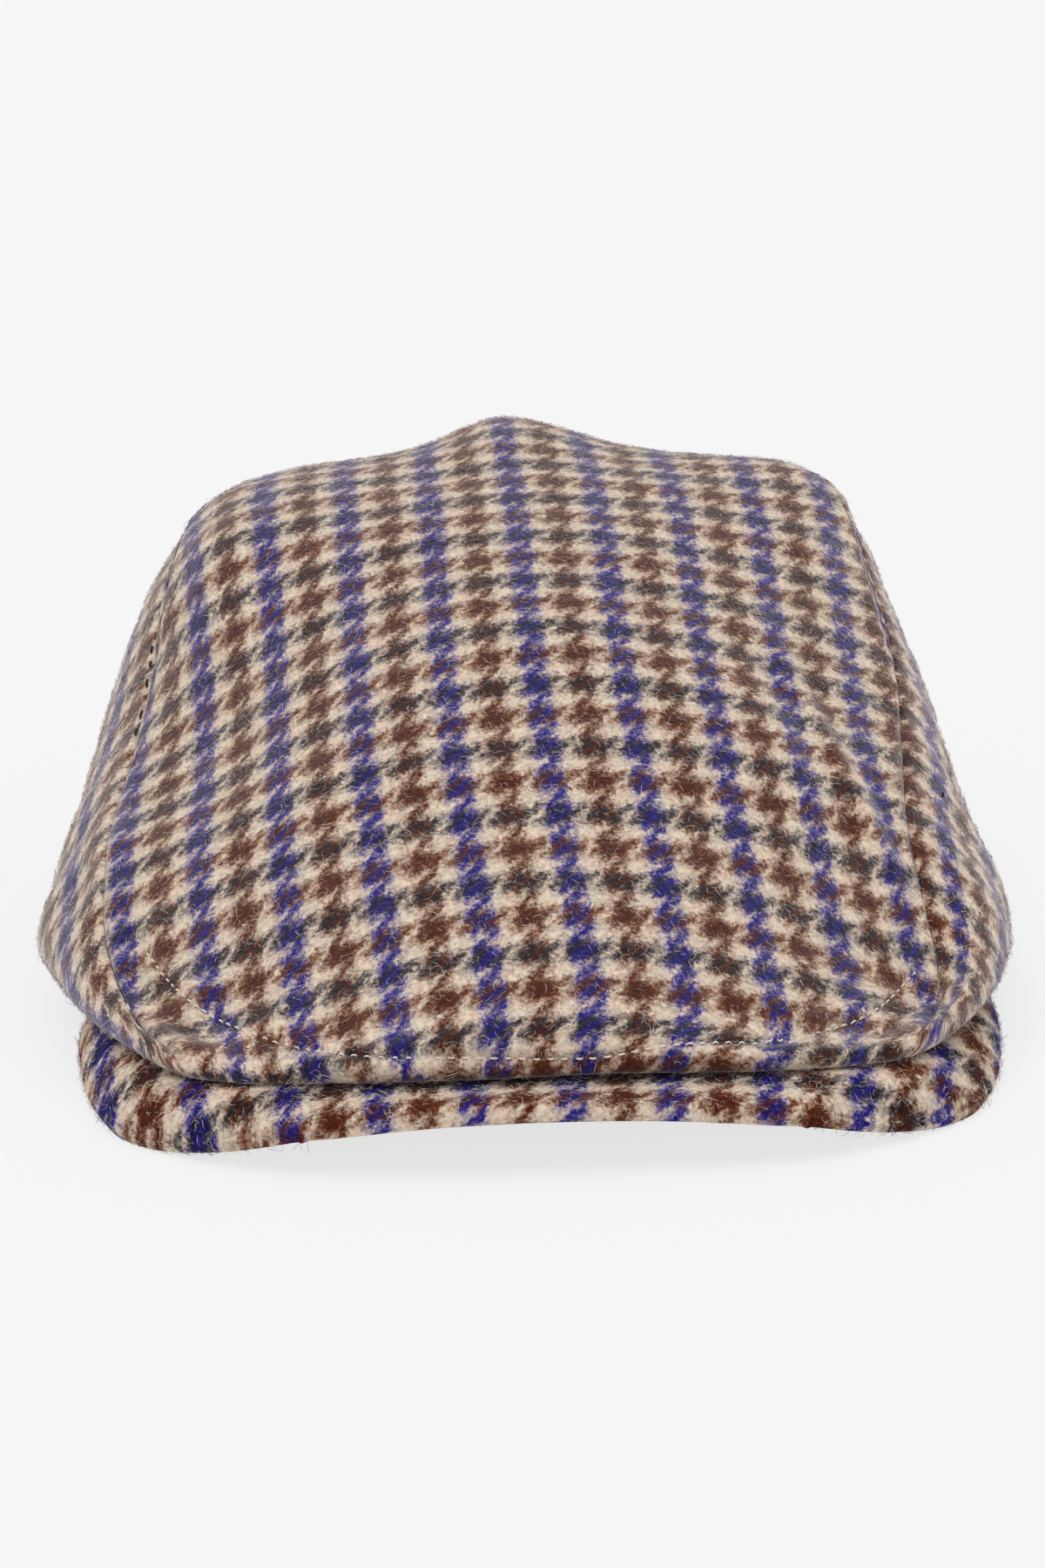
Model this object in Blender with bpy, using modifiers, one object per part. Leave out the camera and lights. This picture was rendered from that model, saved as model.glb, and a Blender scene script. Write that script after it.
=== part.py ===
"""Flat cap: a one-piece top panel, two side panels that meet at the centre back, and a peak.

Lengths in the tables are millimetres; the model is built in metres, +Z up, +Y towards the
back of the cap.  The tables count Y from the front fold and Z from the surface that the cap
rests on; the finished model is moved so that its origin is the bottom centre of its box.
"""
import bpy
import bmesh
import math
import numpy as np

# ------------------------------------------------------------------ driving dimensions (mm)
CLOTH = 1.2            # wall of a cloth panel
PEAK_THICK = 4.0       # stiffened, cloth-covered peak
EDGE_LIFT = 2.0        # height of the peak's upper face above its lowest point at the edge
SEAM_GAP = 1.0         # clear space between two panels along a seam
HEM = 5.0              # width of the hem that lies flat at the head opening
MID_X = -2.2           # middle of the cap's width
MID_Y = 119.5          # middle of the cap's length, counted from the front fold
MM = 0.001


def table(names, *rows):
    """Named columns of a short table; the first column is the row's name."""
    return {n: np.array([r[i] for r in rows], float) for i, n in enumerate(names.split()) if i}


# Middle line of the top panel from the front fold to the back, and how far the panel has
# fallen 75 mm out to the left and to the right of it; 'edge' rounds the shoulder further out.
TOP = table("row     y      z    fall_l fall_r edge_l edge_r  axis",
            ("brow",    0.0,  23.2,  23.5,  34.0,   2.0,  -5.0,  -0.5),
            ("front",  25.0,  37.8,  27.5,  31.0,   2.0,  -5.0,  -1.5),
            ("slope",  50.0,  51.5,  25.5,  28.5,   1.0,  -2.5,  -2.0),
            ("slope2", 75.0,  66.3,  28.0,  27.0,  -3.0,  -1.0,   0.5),
            ("middle", 100.0, 78.6,  34.3,  28.0,  -5.0,  -2.5,  -1.5),
            ("middle2", 125.0, 87.6, 28.5,  24.5,   4.0,  -1.5,  -2.5),
            ("crown",  150.0, 94.8,  17.0,  17.5,  16.0,   0.5,  -4.0),
            ("crown2", 172.0, 98.2,  12.0,  11.0,  15.0,   2.0,  -4.0),
            ("crest",  190.0, 99.0,  10.5,   6.8,  12.0,   3.0,  -2.0),
            ("crest2", 205.0, 97.2,  11.0,   7.5,  12.0,   6.0,  -1.0),
            ("back",   220.0, 92.2,  14.0,  12.0,  12.0,  11.0,   0.0),
            ("end",    240.0, 80.0,  20.0,  20.0,  10.0,  10.0,   0.0))
SHOULDER_AT = 56.0     # distance from the middle line where the shoulder starts to round
SHOULDER_WIDE = 24.0
# Low ridge that stands up at the crest.
RIDGE = dict(x=-1.0, y=200.0, high=7.2, left=15.0, right=19.0, along=26.0)

# Rolled front fold of the top panel: where it leaves the top surface (brow), its foremost
# line (out) and the line where it meets the peak (crease).
FOLD = table("row      x    brow_y  out_y  out_z  crease_y crease_z",
             ("left",  -60.0, 17.0,   6.5,  15.8,   8.4,   13.1),
             ("left2", -42.0,  9.0,   1.0,  17.2,   3.8,   14.0),
             ("left3", -20.0,  4.6,  -0.8,  18.6,   2.2,   14.4),
             ("mid",     0.0,  3.6,  -1.0,  18.9,   2.0,   14.5),
             ("right3", 20.0,  4.8,  -0.8,  18.3,   2.2,   14.4),
             ("right2", 42.0, 11.0,   1.4,  16.6,   4.0,   13.9),
             ("right",  60.0, 21.0,   7.0,  15.4,   8.6,   13.1))
TUCK = 5.0             # cloth turned back under the fold
WIDER = 1.05          # the fold's brow is this much wider than its crease

# Stations round a side panel, from its front tip (k 0) to the centre back (k 1): the seam
# with the top panel (left and right), the widest line, and the outer line of the hem.
SIDE = table("row        k    left_x left_y right_x right_y wide_x wide_y wide_z rim_x rim_y slope swell",
             ("tip",     0.00,  65.2,  21.2,  65.2,  24.6,   64.0,   7.9,  15.6,  64.0,  10.2,  -2.0, 1.00),
             ("corner",  0.06,  71.5,  30.0,  72.0,  33.0,   71.5,  14.0,  14.9,  70.5,  15.5, -12.0, 1.00),
             ("front",   0.13,  79.5,  45.0,  76.5,  50.0,   82.0,  29.0,  15.2,  79.5,  30.0, -28.0, 1.00),
             ("temple",  0.20,  84.0,  62.0,  75.8,  68.0,   91.8,  52.0,  16.0,  88.0,  50.0, -38.0, 1.00),
             ("temple2", 0.26,  85.0,  80.0,  76.5,  86.0,   97.0,  70.0,  16.6,  89.0,  69.0, -34.0, 1.00),
             ("ear",     0.33,  84.5, 100.0,  78.5, 106.0,  101.0,  92.0,  16.2,  88.5,  90.0, -28.0, 1.05),
             ("ear2",    0.42,  82.0, 126.0,  80.0, 129.0,   99.0, 119.0,  16.0,  88.0, 116.0, -35.0, 1.10),
             ("side",    0.52,  79.5, 151.0,  79.5, 153.0,   96.0, 148.0,  18.0,  85.0, 143.0, -45.0, 1.10),
             ("side2",   0.62,  76.5, 175.0,  76.8, 176.0,   90.5, 177.0,  21.0,  78.0, 168.0, -48.0, 1.10),
             ("turn",    0.73,  67.5, 199.0,  69.0, 200.0,   80.0, 206.0,  26.0,  66.0, 191.0, -48.0, 1.10),
             ("turn2",   0.83,  50.5, 218.0,  52.0, 218.5,   60.5, 229.0,  31.0,  48.5, 206.0, -48.0, 1.10),
             ("back2",   0.92,  26.0, 230.0,  27.0, 230.0,   32.0, 245.0,  34.0,  25.0, 214.0, -48.0, 1.10),
             ("back",    1.00,   0.0, 234.0,   0.0, 234.0,    0.0, 251.0,  35.0,   0.0, 217.0, -48.0, 1.10))
LEAN = (-2.2, 0.34)    # the side panels bulge this far to the left, reached at this station
REST_ON_PEAK = 12.8    # height of the hem where it lies on the peak
DROP = (0.235, 0.33)   # stations between which the hem comes down behind the peak's horn
TURN_K = 0.66          # the top panel's last row runs along the seam from here round the back
UNDER_FOLD = 0.45      # share of the peak's depth that lies under the fold
WIDE_V = 0.58          # share of a side panel's height that lies above its widest line
RIM_V = 0.90           # from here on the side panel is its flat hem

# Soft valley in each side panel between the seam and the ear: centre, depth and reach.
VALLEY = dict(left=(0.30, 2.6), right=(0.31, 1.8), v=0.30, wide_k=0.07, wide_v=0.16)
# How much flatter the cloth hangs between the seam and the widest line of each side.
FLATTER = dict(left=1.2, right=2.6, start=0.22, full=0.36)

# Half of the peak from the tip of its horn (k 0) to the centre line (k 1); z is the
# underside.  'out' is the outer edge, 'mid' lies under the fold, 'in' is the hidden edge.
PEAK = table("row     k     out_x  out_y  out_z  mid_x  mid_y  mid_z  in_x   in_y   in_z",
             ("tip",   0.00,  92.2,  64.5,   5.0,  88.0,  64.0,   7.0,  84.0,  63.0,   6.9),
             ("horn",  0.12,  91.2,  50.5,   2.9,  86.2,  51.5,   8.2,  80.0,  54.0,   7.9),
             ("horn2", 0.25,  88.6,  34.0,   0.8,  81.8,  38.5,   8.3,  73.5,  44.0,   8.0),
             ("corner", 0.40,  81.7,  15.3,   0.3,  74.0,  24.0,   8.3,  63.0,  32.0,   8.0),
             ("front", 0.55,  68.5,   3.2,   0.8,  63.5,  12.0,   8.5,  50.0,  23.0,   8.2),
             ("front2", 0.70,  48.5,  -7.4,   6.3,  46.0,   5.0,   9.4,  36.0,  17.0,   9.0),
             ("front3", 0.85, 25.0, -11.0,  10.8,  24.0,   2.5,  10.0,  19.0,  13.0,   9.6),
             ("mid",  1.00,   0.0, -12.0,  12.2,   0.0,   2.0,  10.1,   0.0,  12.0,   9.7))
PEAK_SHIFT = -0.7      # the whole peak sits this far to the left


# ------------------------------------------------------------------ curves through the tables
def smooth(xs, ys, x):
    """Natural cubic through a table's rows."""
    xs, ys, x = (np.asarray(a, float) for a in (xs, ys, x))
    n, h = len(xs), np.diff(xs)
    a, r = np.zeros((n, n)), np.zeros(n)
    a[0, 0] = a[-1, -1] = 1.0
    for i in range(1, n - 1):
        a[i, i - 1], a[i, i], a[i, i + 1] = h[i - 1], 2 * (h[i - 1] + h[i]), h[i]
        r[i] = 3 * ((ys[i + 1] - ys[i]) / h[i] - (ys[i] - ys[i - 1]) / h[i - 1])
    c = np.linalg.solve(a, r)
    b = (ys[1:] - ys[:-1]) / h - h * (2 * c[:-1] + c[1:]) / 3
    d = (c[1:] - c[:-1]) / (3 * h)
    k = np.clip(np.searchsorted(xs, x) - 1, 0, n - 2)
    u = x - xs[k]
    return ys[k] + b[k] * u + c[k] * u ** 2 + d[k] * u ** 3


def mirrored(tab, col, k, odd):
    """A half table read past the centre line, so that the two halves meet smoothly."""
    ks = np.concatenate([tab["k"], 2 - tab["k"][-2::-1]])
    vs = np.concatenate([tab[col], (-1 if odd else 1) * tab[col][-2::-1]])
    return smooth(ks, vs, k)


def hermite(p, tp, q, tq, t):
    """Point at t on the curve from p (tangent tp) to q (tangent tq)."""
    return ((2 * t ** 3 - 3 * t ** 2 + 1) * p + (t ** 3 - 2 * t ** 2 + t) * tp
            + (3 * t ** 2 - 2 * t ** 3) * q + (t ** 3 - t ** 2) * tq)


def unit(v):
    return v / np.maximum(np.linalg.norm(v, axis=-1, keepdims=True), 1e-9)


def top_z(x, y):
    """Height of the top panel over a point of the plan."""
    x, y = np.asarray(x, float), np.asarray(y, float)
    at = {n: smooth(TOP["y"], TOP[n], y) for n in TOP if n != "y"}
    u = x - at["axis"]
    fall = np.where(u < 0, at["fall_l"], at["fall_r"])
    edge = np.where(u < 0, at["edge_l"], at["edge_r"])
    over = np.clip((np.abs(u) - SHOULDER_AT) / SHOULDER_WIDE, 0, None)
    z = at["z"] - fall * (u / 75.0) ** 2 - edge * over ** 2
    reach = np.where(x < RIDGE["x"], RIDGE["left"], RIDGE["right"])
    return z + RIDGE["high"] * np.exp(-((x - RIDGE["x"]) / reach) ** 2
                                      - ((y - RIDGE["y"]) / RIDGE["along"]) ** 2)


def rim_z(k):
    """Height of the hem: on the peak in front, on the ground behind it."""
    t = np.clip((np.asarray(k, float) - DROP[0]) / (DROP[1] - DROP[0]), 0, 1)
    return REST_ON_PEAK * (1 - t * t * (3 - 2 * t))


def side_lines(k, side):
    """Seam, widest line and hem line of a side panel at station k, and its slope and swell."""
    sx = -1.0 if side == "left" else 1.0
    g = lambda n: mirrored(SIDE, n, k, n.endswith("_x"))
    seam = np.stack([sx * g(side + "_x"), g(side + "_y")], -1)
    seam = np.concatenate([seam, top_z(seam[..., 0], seam[..., 1])[..., None]], -1)
    lean = LEAN[0] * np.clip(np.minimum(k, 2 - np.asarray(k, float)) / LEAN[1], 0, 1) ** 2
    wide = np.stack([sx * g("wide_x") + lean, g("wide_y"), g("wide_z")], -1)
    rim = np.stack([sx * g("rim_x") + lean, g("rim_y"), rim_z(k)], -1)
    return seam, wide, rim, g("slope"), g("swell")


def side_point(k, v, side):
    """Side panel: v 0 at the seam, WIDE_V at the widest line, RIM_V to 1 across the hem."""
    k, v = np.asarray(k, float), np.asarray(v, float)[..., None]
    sx = -1.0 if side == "left" else 1.0
    seam, wide, rim, slope, swell = side_lines(k, side)
    step = 0.004
    along = unit((side_lines(k + step, side)[1] - side_lines(k - step, side)[1])[..., :2])
    out = np.stack([along[..., 1] * sx, -along[..., 0] * sx], -1)
    flat = np.concatenate([out, np.zeros_like(out[..., :1])], -1)
    down = np.zeros_like(flat)
    down[..., 2] = -1.0
    a = np.radians(slope)[..., None]
    leave = flat * np.cos(a) - down * np.sin(a)
    seam = seam + leave * SEAM_GAP
    size = np.linalg.norm(wide - seam, axis=-1, keepdims=True) * swell[..., None]
    upper = hermite(seam, size * leave, wide, size * down, np.clip(v / WIDE_V, 0, 1))
    low = np.linalg.norm(rim - wide, axis=-1, keepdims=True)
    t = np.clip((v - WIDE_V) / (RIM_V - WIDE_V), 0, 1)
    lower = hermite(wide, 0.5 * low * down, rim, -0.8 * low * flat, t)
    turned = HEM * np.clip(0.3 + k / 0.06, 0.3, 1.0)[..., None]     # the hem runs out at the tip
    hem = rim - flat * turned * np.clip((v - RIM_V) / (1 - RIM_V), 0, 1)
    p = np.where(v <= WIDE_V, upper, np.where(v <= RIM_V, lower, hem))
    kc, deep = VALLEY[side]
    dent = deep * np.exp(-((k[..., None] - kc) / VALLEY["wide_k"]) ** 2
                         - ((v - VALLEY["v"]) / VALLEY["wide_v"]) ** 2)
    hang = np.clip((np.minimum(k, 2 - k) - FLATTER["start"]) / (FLATTER["full"] - FLATTER["start"]),
                   0, 1) * (1 - np.clip((k - 0.85) / 0.15, 0, 1))
    flatter = FLATTER[side] * hang[..., None] * np.sin(np.pi * np.clip(v / WIDE_V, 0, 1))
    return p - flat * (dent * 0.8 + flatter) + down * dent * 0.6


def fold_point(x, r):
    """Front of the top panel at x: r 0 tucked end, 0.2 crease, 0.5 foremost line, 1 brow."""
    f = {n: smooth(FOLD["x"], FOLD[n], x) for n in FOLD if n != "x"}
    x = np.asarray(x, float)
    pt = lambda y, z: np.stack([x, y, z], -1)
    brow = pt(f["brow_y"], top_z(x, f["brow_y"]))
    out = pt(f["out_y"], f["out_z"])
    crease = pt(f["crease_y"], f["crease_z"])
    tuck = pt(f["crease_y"] + TUCK, f["crease_z"] + 0.1)
    grad = (top_z(x, f["brow_y"] + 1) - top_z(x, f["brow_y"] - 1)) / 2
    back = unit(pt(np.ones_like(x), grad) - pt(np.zeros_like(x), np.zeros_like(x)) * 1.0
                - np.stack([x, np.zeros_like(x), np.zeros_like(x)], -1))
    up = np.zeros_like(back)
    up[..., 2] = 1.0
    away = np.zeros_like(back)
    away[..., 1] = 1.0
    r = np.asarray(r, float)[..., None]
    high = np.linalg.norm(brow - out, axis=-1, keepdims=True)
    low = np.linalg.norm(out - crease, axis=-1, keepdims=True)
    face = hermite(out, high * 1.1 * up, brow, high * 1.1 * back, np.clip((r - 0.5) / 0.5, 0, 1))
    under = hermite(crease, -low * 1.3 * away, out, low * 1.3 * up, np.clip((r - 0.2) / 0.3, 0, 1))
    inner = tuck + (crease - tuck) * np.clip(r / 0.2, 0, 1)
    return np.where(r >= 0.5, face, np.where(r >= 0.2, under, inner))


def top_point(k, w):
    """Top panel behind its brow: k along the side seams, w 0 left seam to 1 right seam."""
    k, w = np.asarray(k, float), np.asarray(w, float)
    left = side_lines(k, "left")[0]
    right = side_lines(k, "right")[0]
    chord = left + (right - left) * w[..., None]
    x, y = chord[..., 0], chord[..., 1]
    brow = smooth(FOLD["x"], FOLD["brow_y"], np.clip(x, FOLD["x"][0], FOLD["x"][-1]))
    ends = FOLD["brow_y"][0] + (FOLD["brow_y"][-1] - FOLD["brow_y"][0]) * w
    y = y + (brow - ends) * np.clip(1 - k / 0.24, 0, 1) ** 1.5
    # the rows bend into the seam that closes the panel round the back
    turn = TURN_K + (1 - TURN_K) * 2 * w
    arc_l = side_lines(np.minimum(turn, 1.0), "left")[0]
    arc_r = side_lines(np.minimum(2 - turn, 1.0), "right")[0]
    arc = np.where((w < 0.5)[..., None], arc_l, arc_r)
    b = np.clip((k - 0.3) / (TURN_K - 0.3), 0, 1)
    b = b * b * (3 - 2 * b)
    x, y = x + (arc[..., 0] - x) * b, y + (arc[..., 1] - y) * b
    return np.stack([x, y, top_z(x, y)], -1)


def peak_lines(k):
    """Outer edge, line under the fold and inner edge of the peak's underside, k 0 to 2."""
    return [np.stack([(-1 if a == "x" else 1) * mirrored(PEAK, "%s_%s" % (n, a), k, a == "x")
                      + (PEAK_SHIFT if a == "x" else 0) for a in "xyz"], -1) for n in ("out", "mid", "in")]


# ------------------------------------------------------------------ surfaces as grids of points
def top_grid(rows_fold, rows_top, cols):
    w = np.linspace(0, 1, cols)
    x0 = FOLD["x"][0] + (FOLD["x"][-1] - FOLD["x"][0]) * w
    grow = lambda r: 1 + (WIDER - 1) * min(max((r - 0.2) / 0.8, 0.0), 1.0)
    front = [fold_point(x0 * grow(r), np.full_like(x0, r)) for r in rows_fold]
    rest = [top_point(np.full_like(w, k), w) for k in rows_top]
    return np.stack(front + rest)


def side_grid(ks, vs, side):
    kk, vv = np.meshgrid(ks, vs, indexing="ij")
    return side_point(kk, vv, side)


def peak_grid(ks, across):
    """Upper face of the peak; across 0 at the inner edge, 1 at the outer edge."""
    out, mid, inn = peak_lines(ks)
    mid, inn = mid + np.array([0, 0, PEAK_THICK]), inn + np.array([0, 0, PEAK_THICK])
    out = out + np.array([0, 0, EDGE_LIFT])
    rows = []
    for a in across:
        # level from the hidden edge to the fold, then one even bend down to the outer edge
        if a <= UNDER_FOLD:
            p = inn + (mid - inn) * a / UNDER_FOLD
        else:
            t = (a - UNDER_FOLD) / (1 - UNDER_FOLD)
            p = hermite(mid, mid - inn, out, 2 * (out - mid) - (mid - inn), t)
        rows.append(p)
    return np.stack(rows, 1)


# ------------------------------------------------------------------ Blender objects
def clear():
    for o in list(bpy.data.objects):
        bpy.data.objects.remove(o, do_unlink=True)


def material(name, colour, rough):
    m = bpy.data.materials.new(name)
    m.use_nodes = True
    b = m.node_tree.nodes["Principled BSDF"]
    b.inputs["Base Color"].default_value = (*colour, 1.0)
    b.inputs["Roughness"].default_value = rough
    b.inputs["Metallic"].default_value = 0.0
    m.diffuse_color = (*colour, 1.0)
    return m


def sheet(name, grid, coll, mat, thick, outward):
    """An open lofted sheet from a grid of points, made solid by a Solidify modifier."""
    bm = bmesh.new()
    origin = np.array([MID_X, MID_Y, 0.0])
    vs = [[bm.verts.new(tuple((p - origin) * MM)) for p in row] for row in grid]
    for i in range(len(vs) - 1):
        for j in range(len(vs[0]) - 1):
            quad = (vs[i][j], vs[i + 1][j], vs[i + 1][j + 1], vs[i][j + 1])
            bm.faces.new(quad)
    bm.normal_update()
    # turn the sheet so that its normals leave the cap
    s = sum(f.normal.dot(f.calc_center_median() - outward) * f.calc_area() for f in bm.faces)
    if s < 0:
        bmesh.ops.reverse_faces(bm, faces=bm.faces[:])
    me = bpy.data.meshes.new(name)
    bm.to_mesh(me)
    bm.free()
    me.materials.append(mat)
    me.shade_smooth()
    me.set_sharp_from_angle(angle=math.radians(50))
    ob = bpy.data.objects.new(name, me)
    coll.objects.link(ob)
    so = ob.modifiers.new("wall", "SOLIDIFY")
    so.thickness = thick * MM
    so.offset = -1.0
    so.use_even_offset = False
    return ob


def main():
    from mathutils import Vector
    clear()
    coll = bpy.data.collections.new("flat_cap")
    bpy.context.scene.collection.children.link(coll)
    wool = material("wool_top", (0.30, 0.23, 0.20), 0.92)
    wool_l = material("wool_left", (0.28, 0.22, 0.21), 0.92)
    wool_r = material("wool_right", (0.28, 0.22, 0.21), 0.92)
    wool_p = material("wool_peak", (0.29, 0.21, 0.18), 0.92)
    inside = Vector((0.0, 0.0, 0.02))

    fold_rows = [0.0, 0.2, 0.3, 0.4, 0.5, 0.62, 0.75, 0.88]
    top_rows = list(np.linspace(0, 0.24, 8)) + list(np.linspace(0.24, TURN_K, 16))[1:]
    sheet("top_panel", top_grid(fold_rows, top_rows, 27), coll, wool, CLOTH, inside)

    ks = np.linspace(0, 1, 30)
    back_gap = 1 - SEAM_GAP / 2 / 330.0
    vs = [0, 0.08, 0.17, 0.27, 0.37, 0.47, WIDE_V, 0.66, 0.74, 0.82, RIM_V, 1.0]
    for side, m in (("left", wool_l), ("right", wool_r)):
        sheet("side_panel_" + side, side_grid(ks * back_gap, vs, side), coll, m, CLOTH, inside)

    kp = np.linspace(0, 2, 41)
    peak = sheet("peak", peak_grid(kp, [0, 0.22, 0.45, 0.64, 0.82, 1.0]), coll, wool_p,
                 PEAK_THICK, Vector((0.0, -0.08, -0.05)))
    peak.modifiers["wall"].bevel_convex = 0.0
    bv = peak.modifiers.new("rounded edge", "BEVEL")
    bv.width = 1.2 * MM
    bv.segments = 2
    bv.limit_method = "ANGLE"
    bv.angle_limit = math.radians(50)


main()
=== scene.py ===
"""Looks of the flat cap: gun-club check wool panels with their seams, top-stitching and fuzz,
a cloth-covered peak, a plain pale floor, soft light and the camera.

Shapes are worked out in millimetres with Y from the front fold and Z from the floor, and are
moved into the frame (metres) when a mesh is made.
"""

import math

import bpy
import numpy as np
from mathutils import Matrix, Vector
from mathutils.bvhtree import BVHTree


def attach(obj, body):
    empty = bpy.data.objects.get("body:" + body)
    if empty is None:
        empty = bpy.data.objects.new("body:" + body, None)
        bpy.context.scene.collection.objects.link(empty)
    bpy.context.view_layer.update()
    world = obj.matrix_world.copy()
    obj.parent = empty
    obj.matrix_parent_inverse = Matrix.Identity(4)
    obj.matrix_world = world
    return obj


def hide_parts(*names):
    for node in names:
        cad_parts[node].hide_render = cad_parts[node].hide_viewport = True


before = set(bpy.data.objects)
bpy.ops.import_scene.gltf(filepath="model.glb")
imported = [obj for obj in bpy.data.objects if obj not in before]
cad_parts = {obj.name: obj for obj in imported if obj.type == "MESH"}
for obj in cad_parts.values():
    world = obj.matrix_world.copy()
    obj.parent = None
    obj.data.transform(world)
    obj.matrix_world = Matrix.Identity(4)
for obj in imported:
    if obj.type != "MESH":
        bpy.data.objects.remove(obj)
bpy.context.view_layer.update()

# ------------------------------------------------------------------ dimensions (mm)
CLOTH = 1.2            # wall of a cloth panel
PEAK_THICK = 4.0       # stiffened, cloth-covered peak
EDGE_LIFT = 2.0        # height of the peak's upper face above its lowest point at the edge
HEM = 5.0              # width of the hem that lies flat at the head opening
MID_X = -2.2           # middle of the cap's width
MID_Y = 119.5          # middle of the cap's length, counted from the front fold
MM = 0.001
THREAD = 1.15          # width of one thread of the weave
HALF = 8 * THREAD      # half of the check's repeat


def table(names, *rows):
    """Named columns of a short table; the first column is the row's name."""
    return {n: np.array([r[i] for r in rows], float) for i, n in enumerate(names.split()) if i}


# Middle line of the top panel from the front fold to the back, and how far the panel has
# fallen 75 mm out to the left and to the right of it; 'edge' rounds the shoulder further out.
TOP = table("row     y      z    fall_l fall_r edge_l edge_r  axis",
            ("brow",    0.0,  23.2,  23.5,  34.0,   2.0,  -5.0,  -0.5),
            ("front",  25.0,  37.8,  27.5,  31.0,   2.0,  -5.0,  -1.5),
            ("slope",  50.0,  51.5,  25.5,  28.5,   1.0,  -2.5,  -2.0),
            ("slope2", 75.0,  66.3,  28.0,  27.0,  -3.0,  -1.0,   0.5),
            ("middle", 100.0, 78.6,  34.3,  28.0,  -5.0,  -2.5,  -1.5),
            ("middle2", 125.0, 87.6, 28.5,  24.5,   4.0,  -1.5,  -2.5),
            ("crown",  150.0, 94.8,  17.0,  17.5,  16.0,   0.5,  -4.0),
            ("crown2", 172.0, 98.2,  12.0,  11.0,  15.0,   2.0,  -4.0),
            ("crest",  190.0, 99.0,  10.5,   6.8,  12.0,   3.0,  -2.0),
            ("crest2", 205.0, 97.2,  11.0,   7.5,  12.0,   6.0,  -1.0),
            ("back",   220.0, 92.2,  14.0,  12.0,  12.0,  11.0,   0.0),
            ("end",    240.0, 80.0,  20.0,  20.0,  10.0,  10.0,   0.0))
SHOULDER_AT = 56.0
SHOULDER_WIDE = 24.0
RIDGE = dict(x=-1.0, y=200.0, high=7.2, left=15.0, right=19.0, along=26.0)

# Rolled front fold of the top panel: where it leaves the top surface (brow), its foremost
# line (out) and the line where it meets the peak (crease).
FOLD = table("row      x    brow_y  out_y  out_z  crease_y crease_z",
             ("left",  -60.0, 17.0,   6.5,  15.8,   8.4,   13.1),
             ("left2", -42.0,  9.0,   1.0,  17.2,   3.8,   14.0),
             ("left3", -20.0,  4.6,  -0.8,  18.6,   2.2,   14.4),
             ("mid",     0.0,  3.6,  -1.0,  18.9,   2.0,   14.5),
             ("right3", 20.0,  4.8,  -0.8,  18.3,   2.2,   14.4),
             ("right2", 42.0, 11.0,   1.4,  16.6,   4.0,   13.9),
             ("right",  60.0, 21.0,   7.0,  15.4,   8.6,   13.1))
TUCK = 5.0
WIDER = 1.05

# Stations round a side panel, from its front tip (k 0) to the centre back (k 1): the seam
# with the top panel (left and right), the widest line, and the outer line of the hem.
SIDE = table("row        k    left_x left_y right_x right_y wide_x wide_y wide_z rim_x rim_y slope swell",
             ("tip",     0.00,  65.2,  21.2,  65.2,  24.6,   64.0,   7.9,  15.6,  64.0,  10.2,  -2.0, 1.00),
             ("corner",  0.06,  71.5,  30.0,  72.0,  33.0,   71.5,  14.0,  14.9,  70.5,  15.5, -12.0, 1.00),
             ("front",   0.13,  79.5,  45.0,  76.5,  50.0,   82.0,  29.0,  15.2,  79.5,  30.0, -28.0, 1.00),
             ("temple",  0.20,  84.0,  62.0,  75.8,  68.0,   91.8,  52.0,  16.0,  88.0,  50.0, -38.0, 1.00),
             ("temple2", 0.26,  85.0,  80.0,  76.5,  86.0,   97.0,  70.0,  16.6,  89.0,  69.0, -34.0, 1.00),
             ("ear",     0.33,  84.5, 100.0,  78.5, 106.0,  101.0,  92.0,  16.2,  88.5,  90.0, -28.0, 1.05),
             ("ear2",    0.42,  82.0, 126.0,  80.0, 129.0,   99.0, 119.0,  16.0,  88.0, 116.0, -35.0, 1.10),
             ("side",    0.52,  79.5, 151.0,  79.5, 153.0,   96.0, 148.0,  18.0,  85.0, 143.0, -45.0, 1.10),
             ("side2",   0.62,  76.5, 175.0,  76.8, 176.0,   90.5, 177.0,  21.0,  78.0, 168.0, -48.0, 1.10),
             ("turn",    0.73,  67.5, 199.0,  69.0, 200.0,   80.0, 206.0,  26.0,  66.0, 191.0, -48.0, 1.10),
             ("turn2",   0.83,  50.5, 218.0,  52.0, 218.5,   60.5, 229.0,  31.0,  48.5, 206.0, -48.0, 1.10),
             ("back2",   0.92,  26.0, 230.0,  27.0, 230.0,   32.0, 245.0,  34.0,  25.0, 214.0, -48.0, 1.10),
             ("back",    1.00,   0.0, 234.0,   0.0, 234.0,    0.0, 251.0,  35.0,   0.0, 217.0, -48.0, 1.10))
LEAN = (-2.2, 0.34)
REST_ON_PEAK = 12.8
DROP = (0.235, 0.33)
TURN_K = 0.66
UNDER_FOLD = 0.45
WIDE_V = 0.58
RIM_V = 0.90
VALLEY = dict(left=(0.30, 2.6), right=(0.31, 1.8), v=0.30, wide_k=0.07, wide_v=0.16)
FLATTER = dict(left=1.2, right=2.6, start=0.22, full=0.36)

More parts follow.
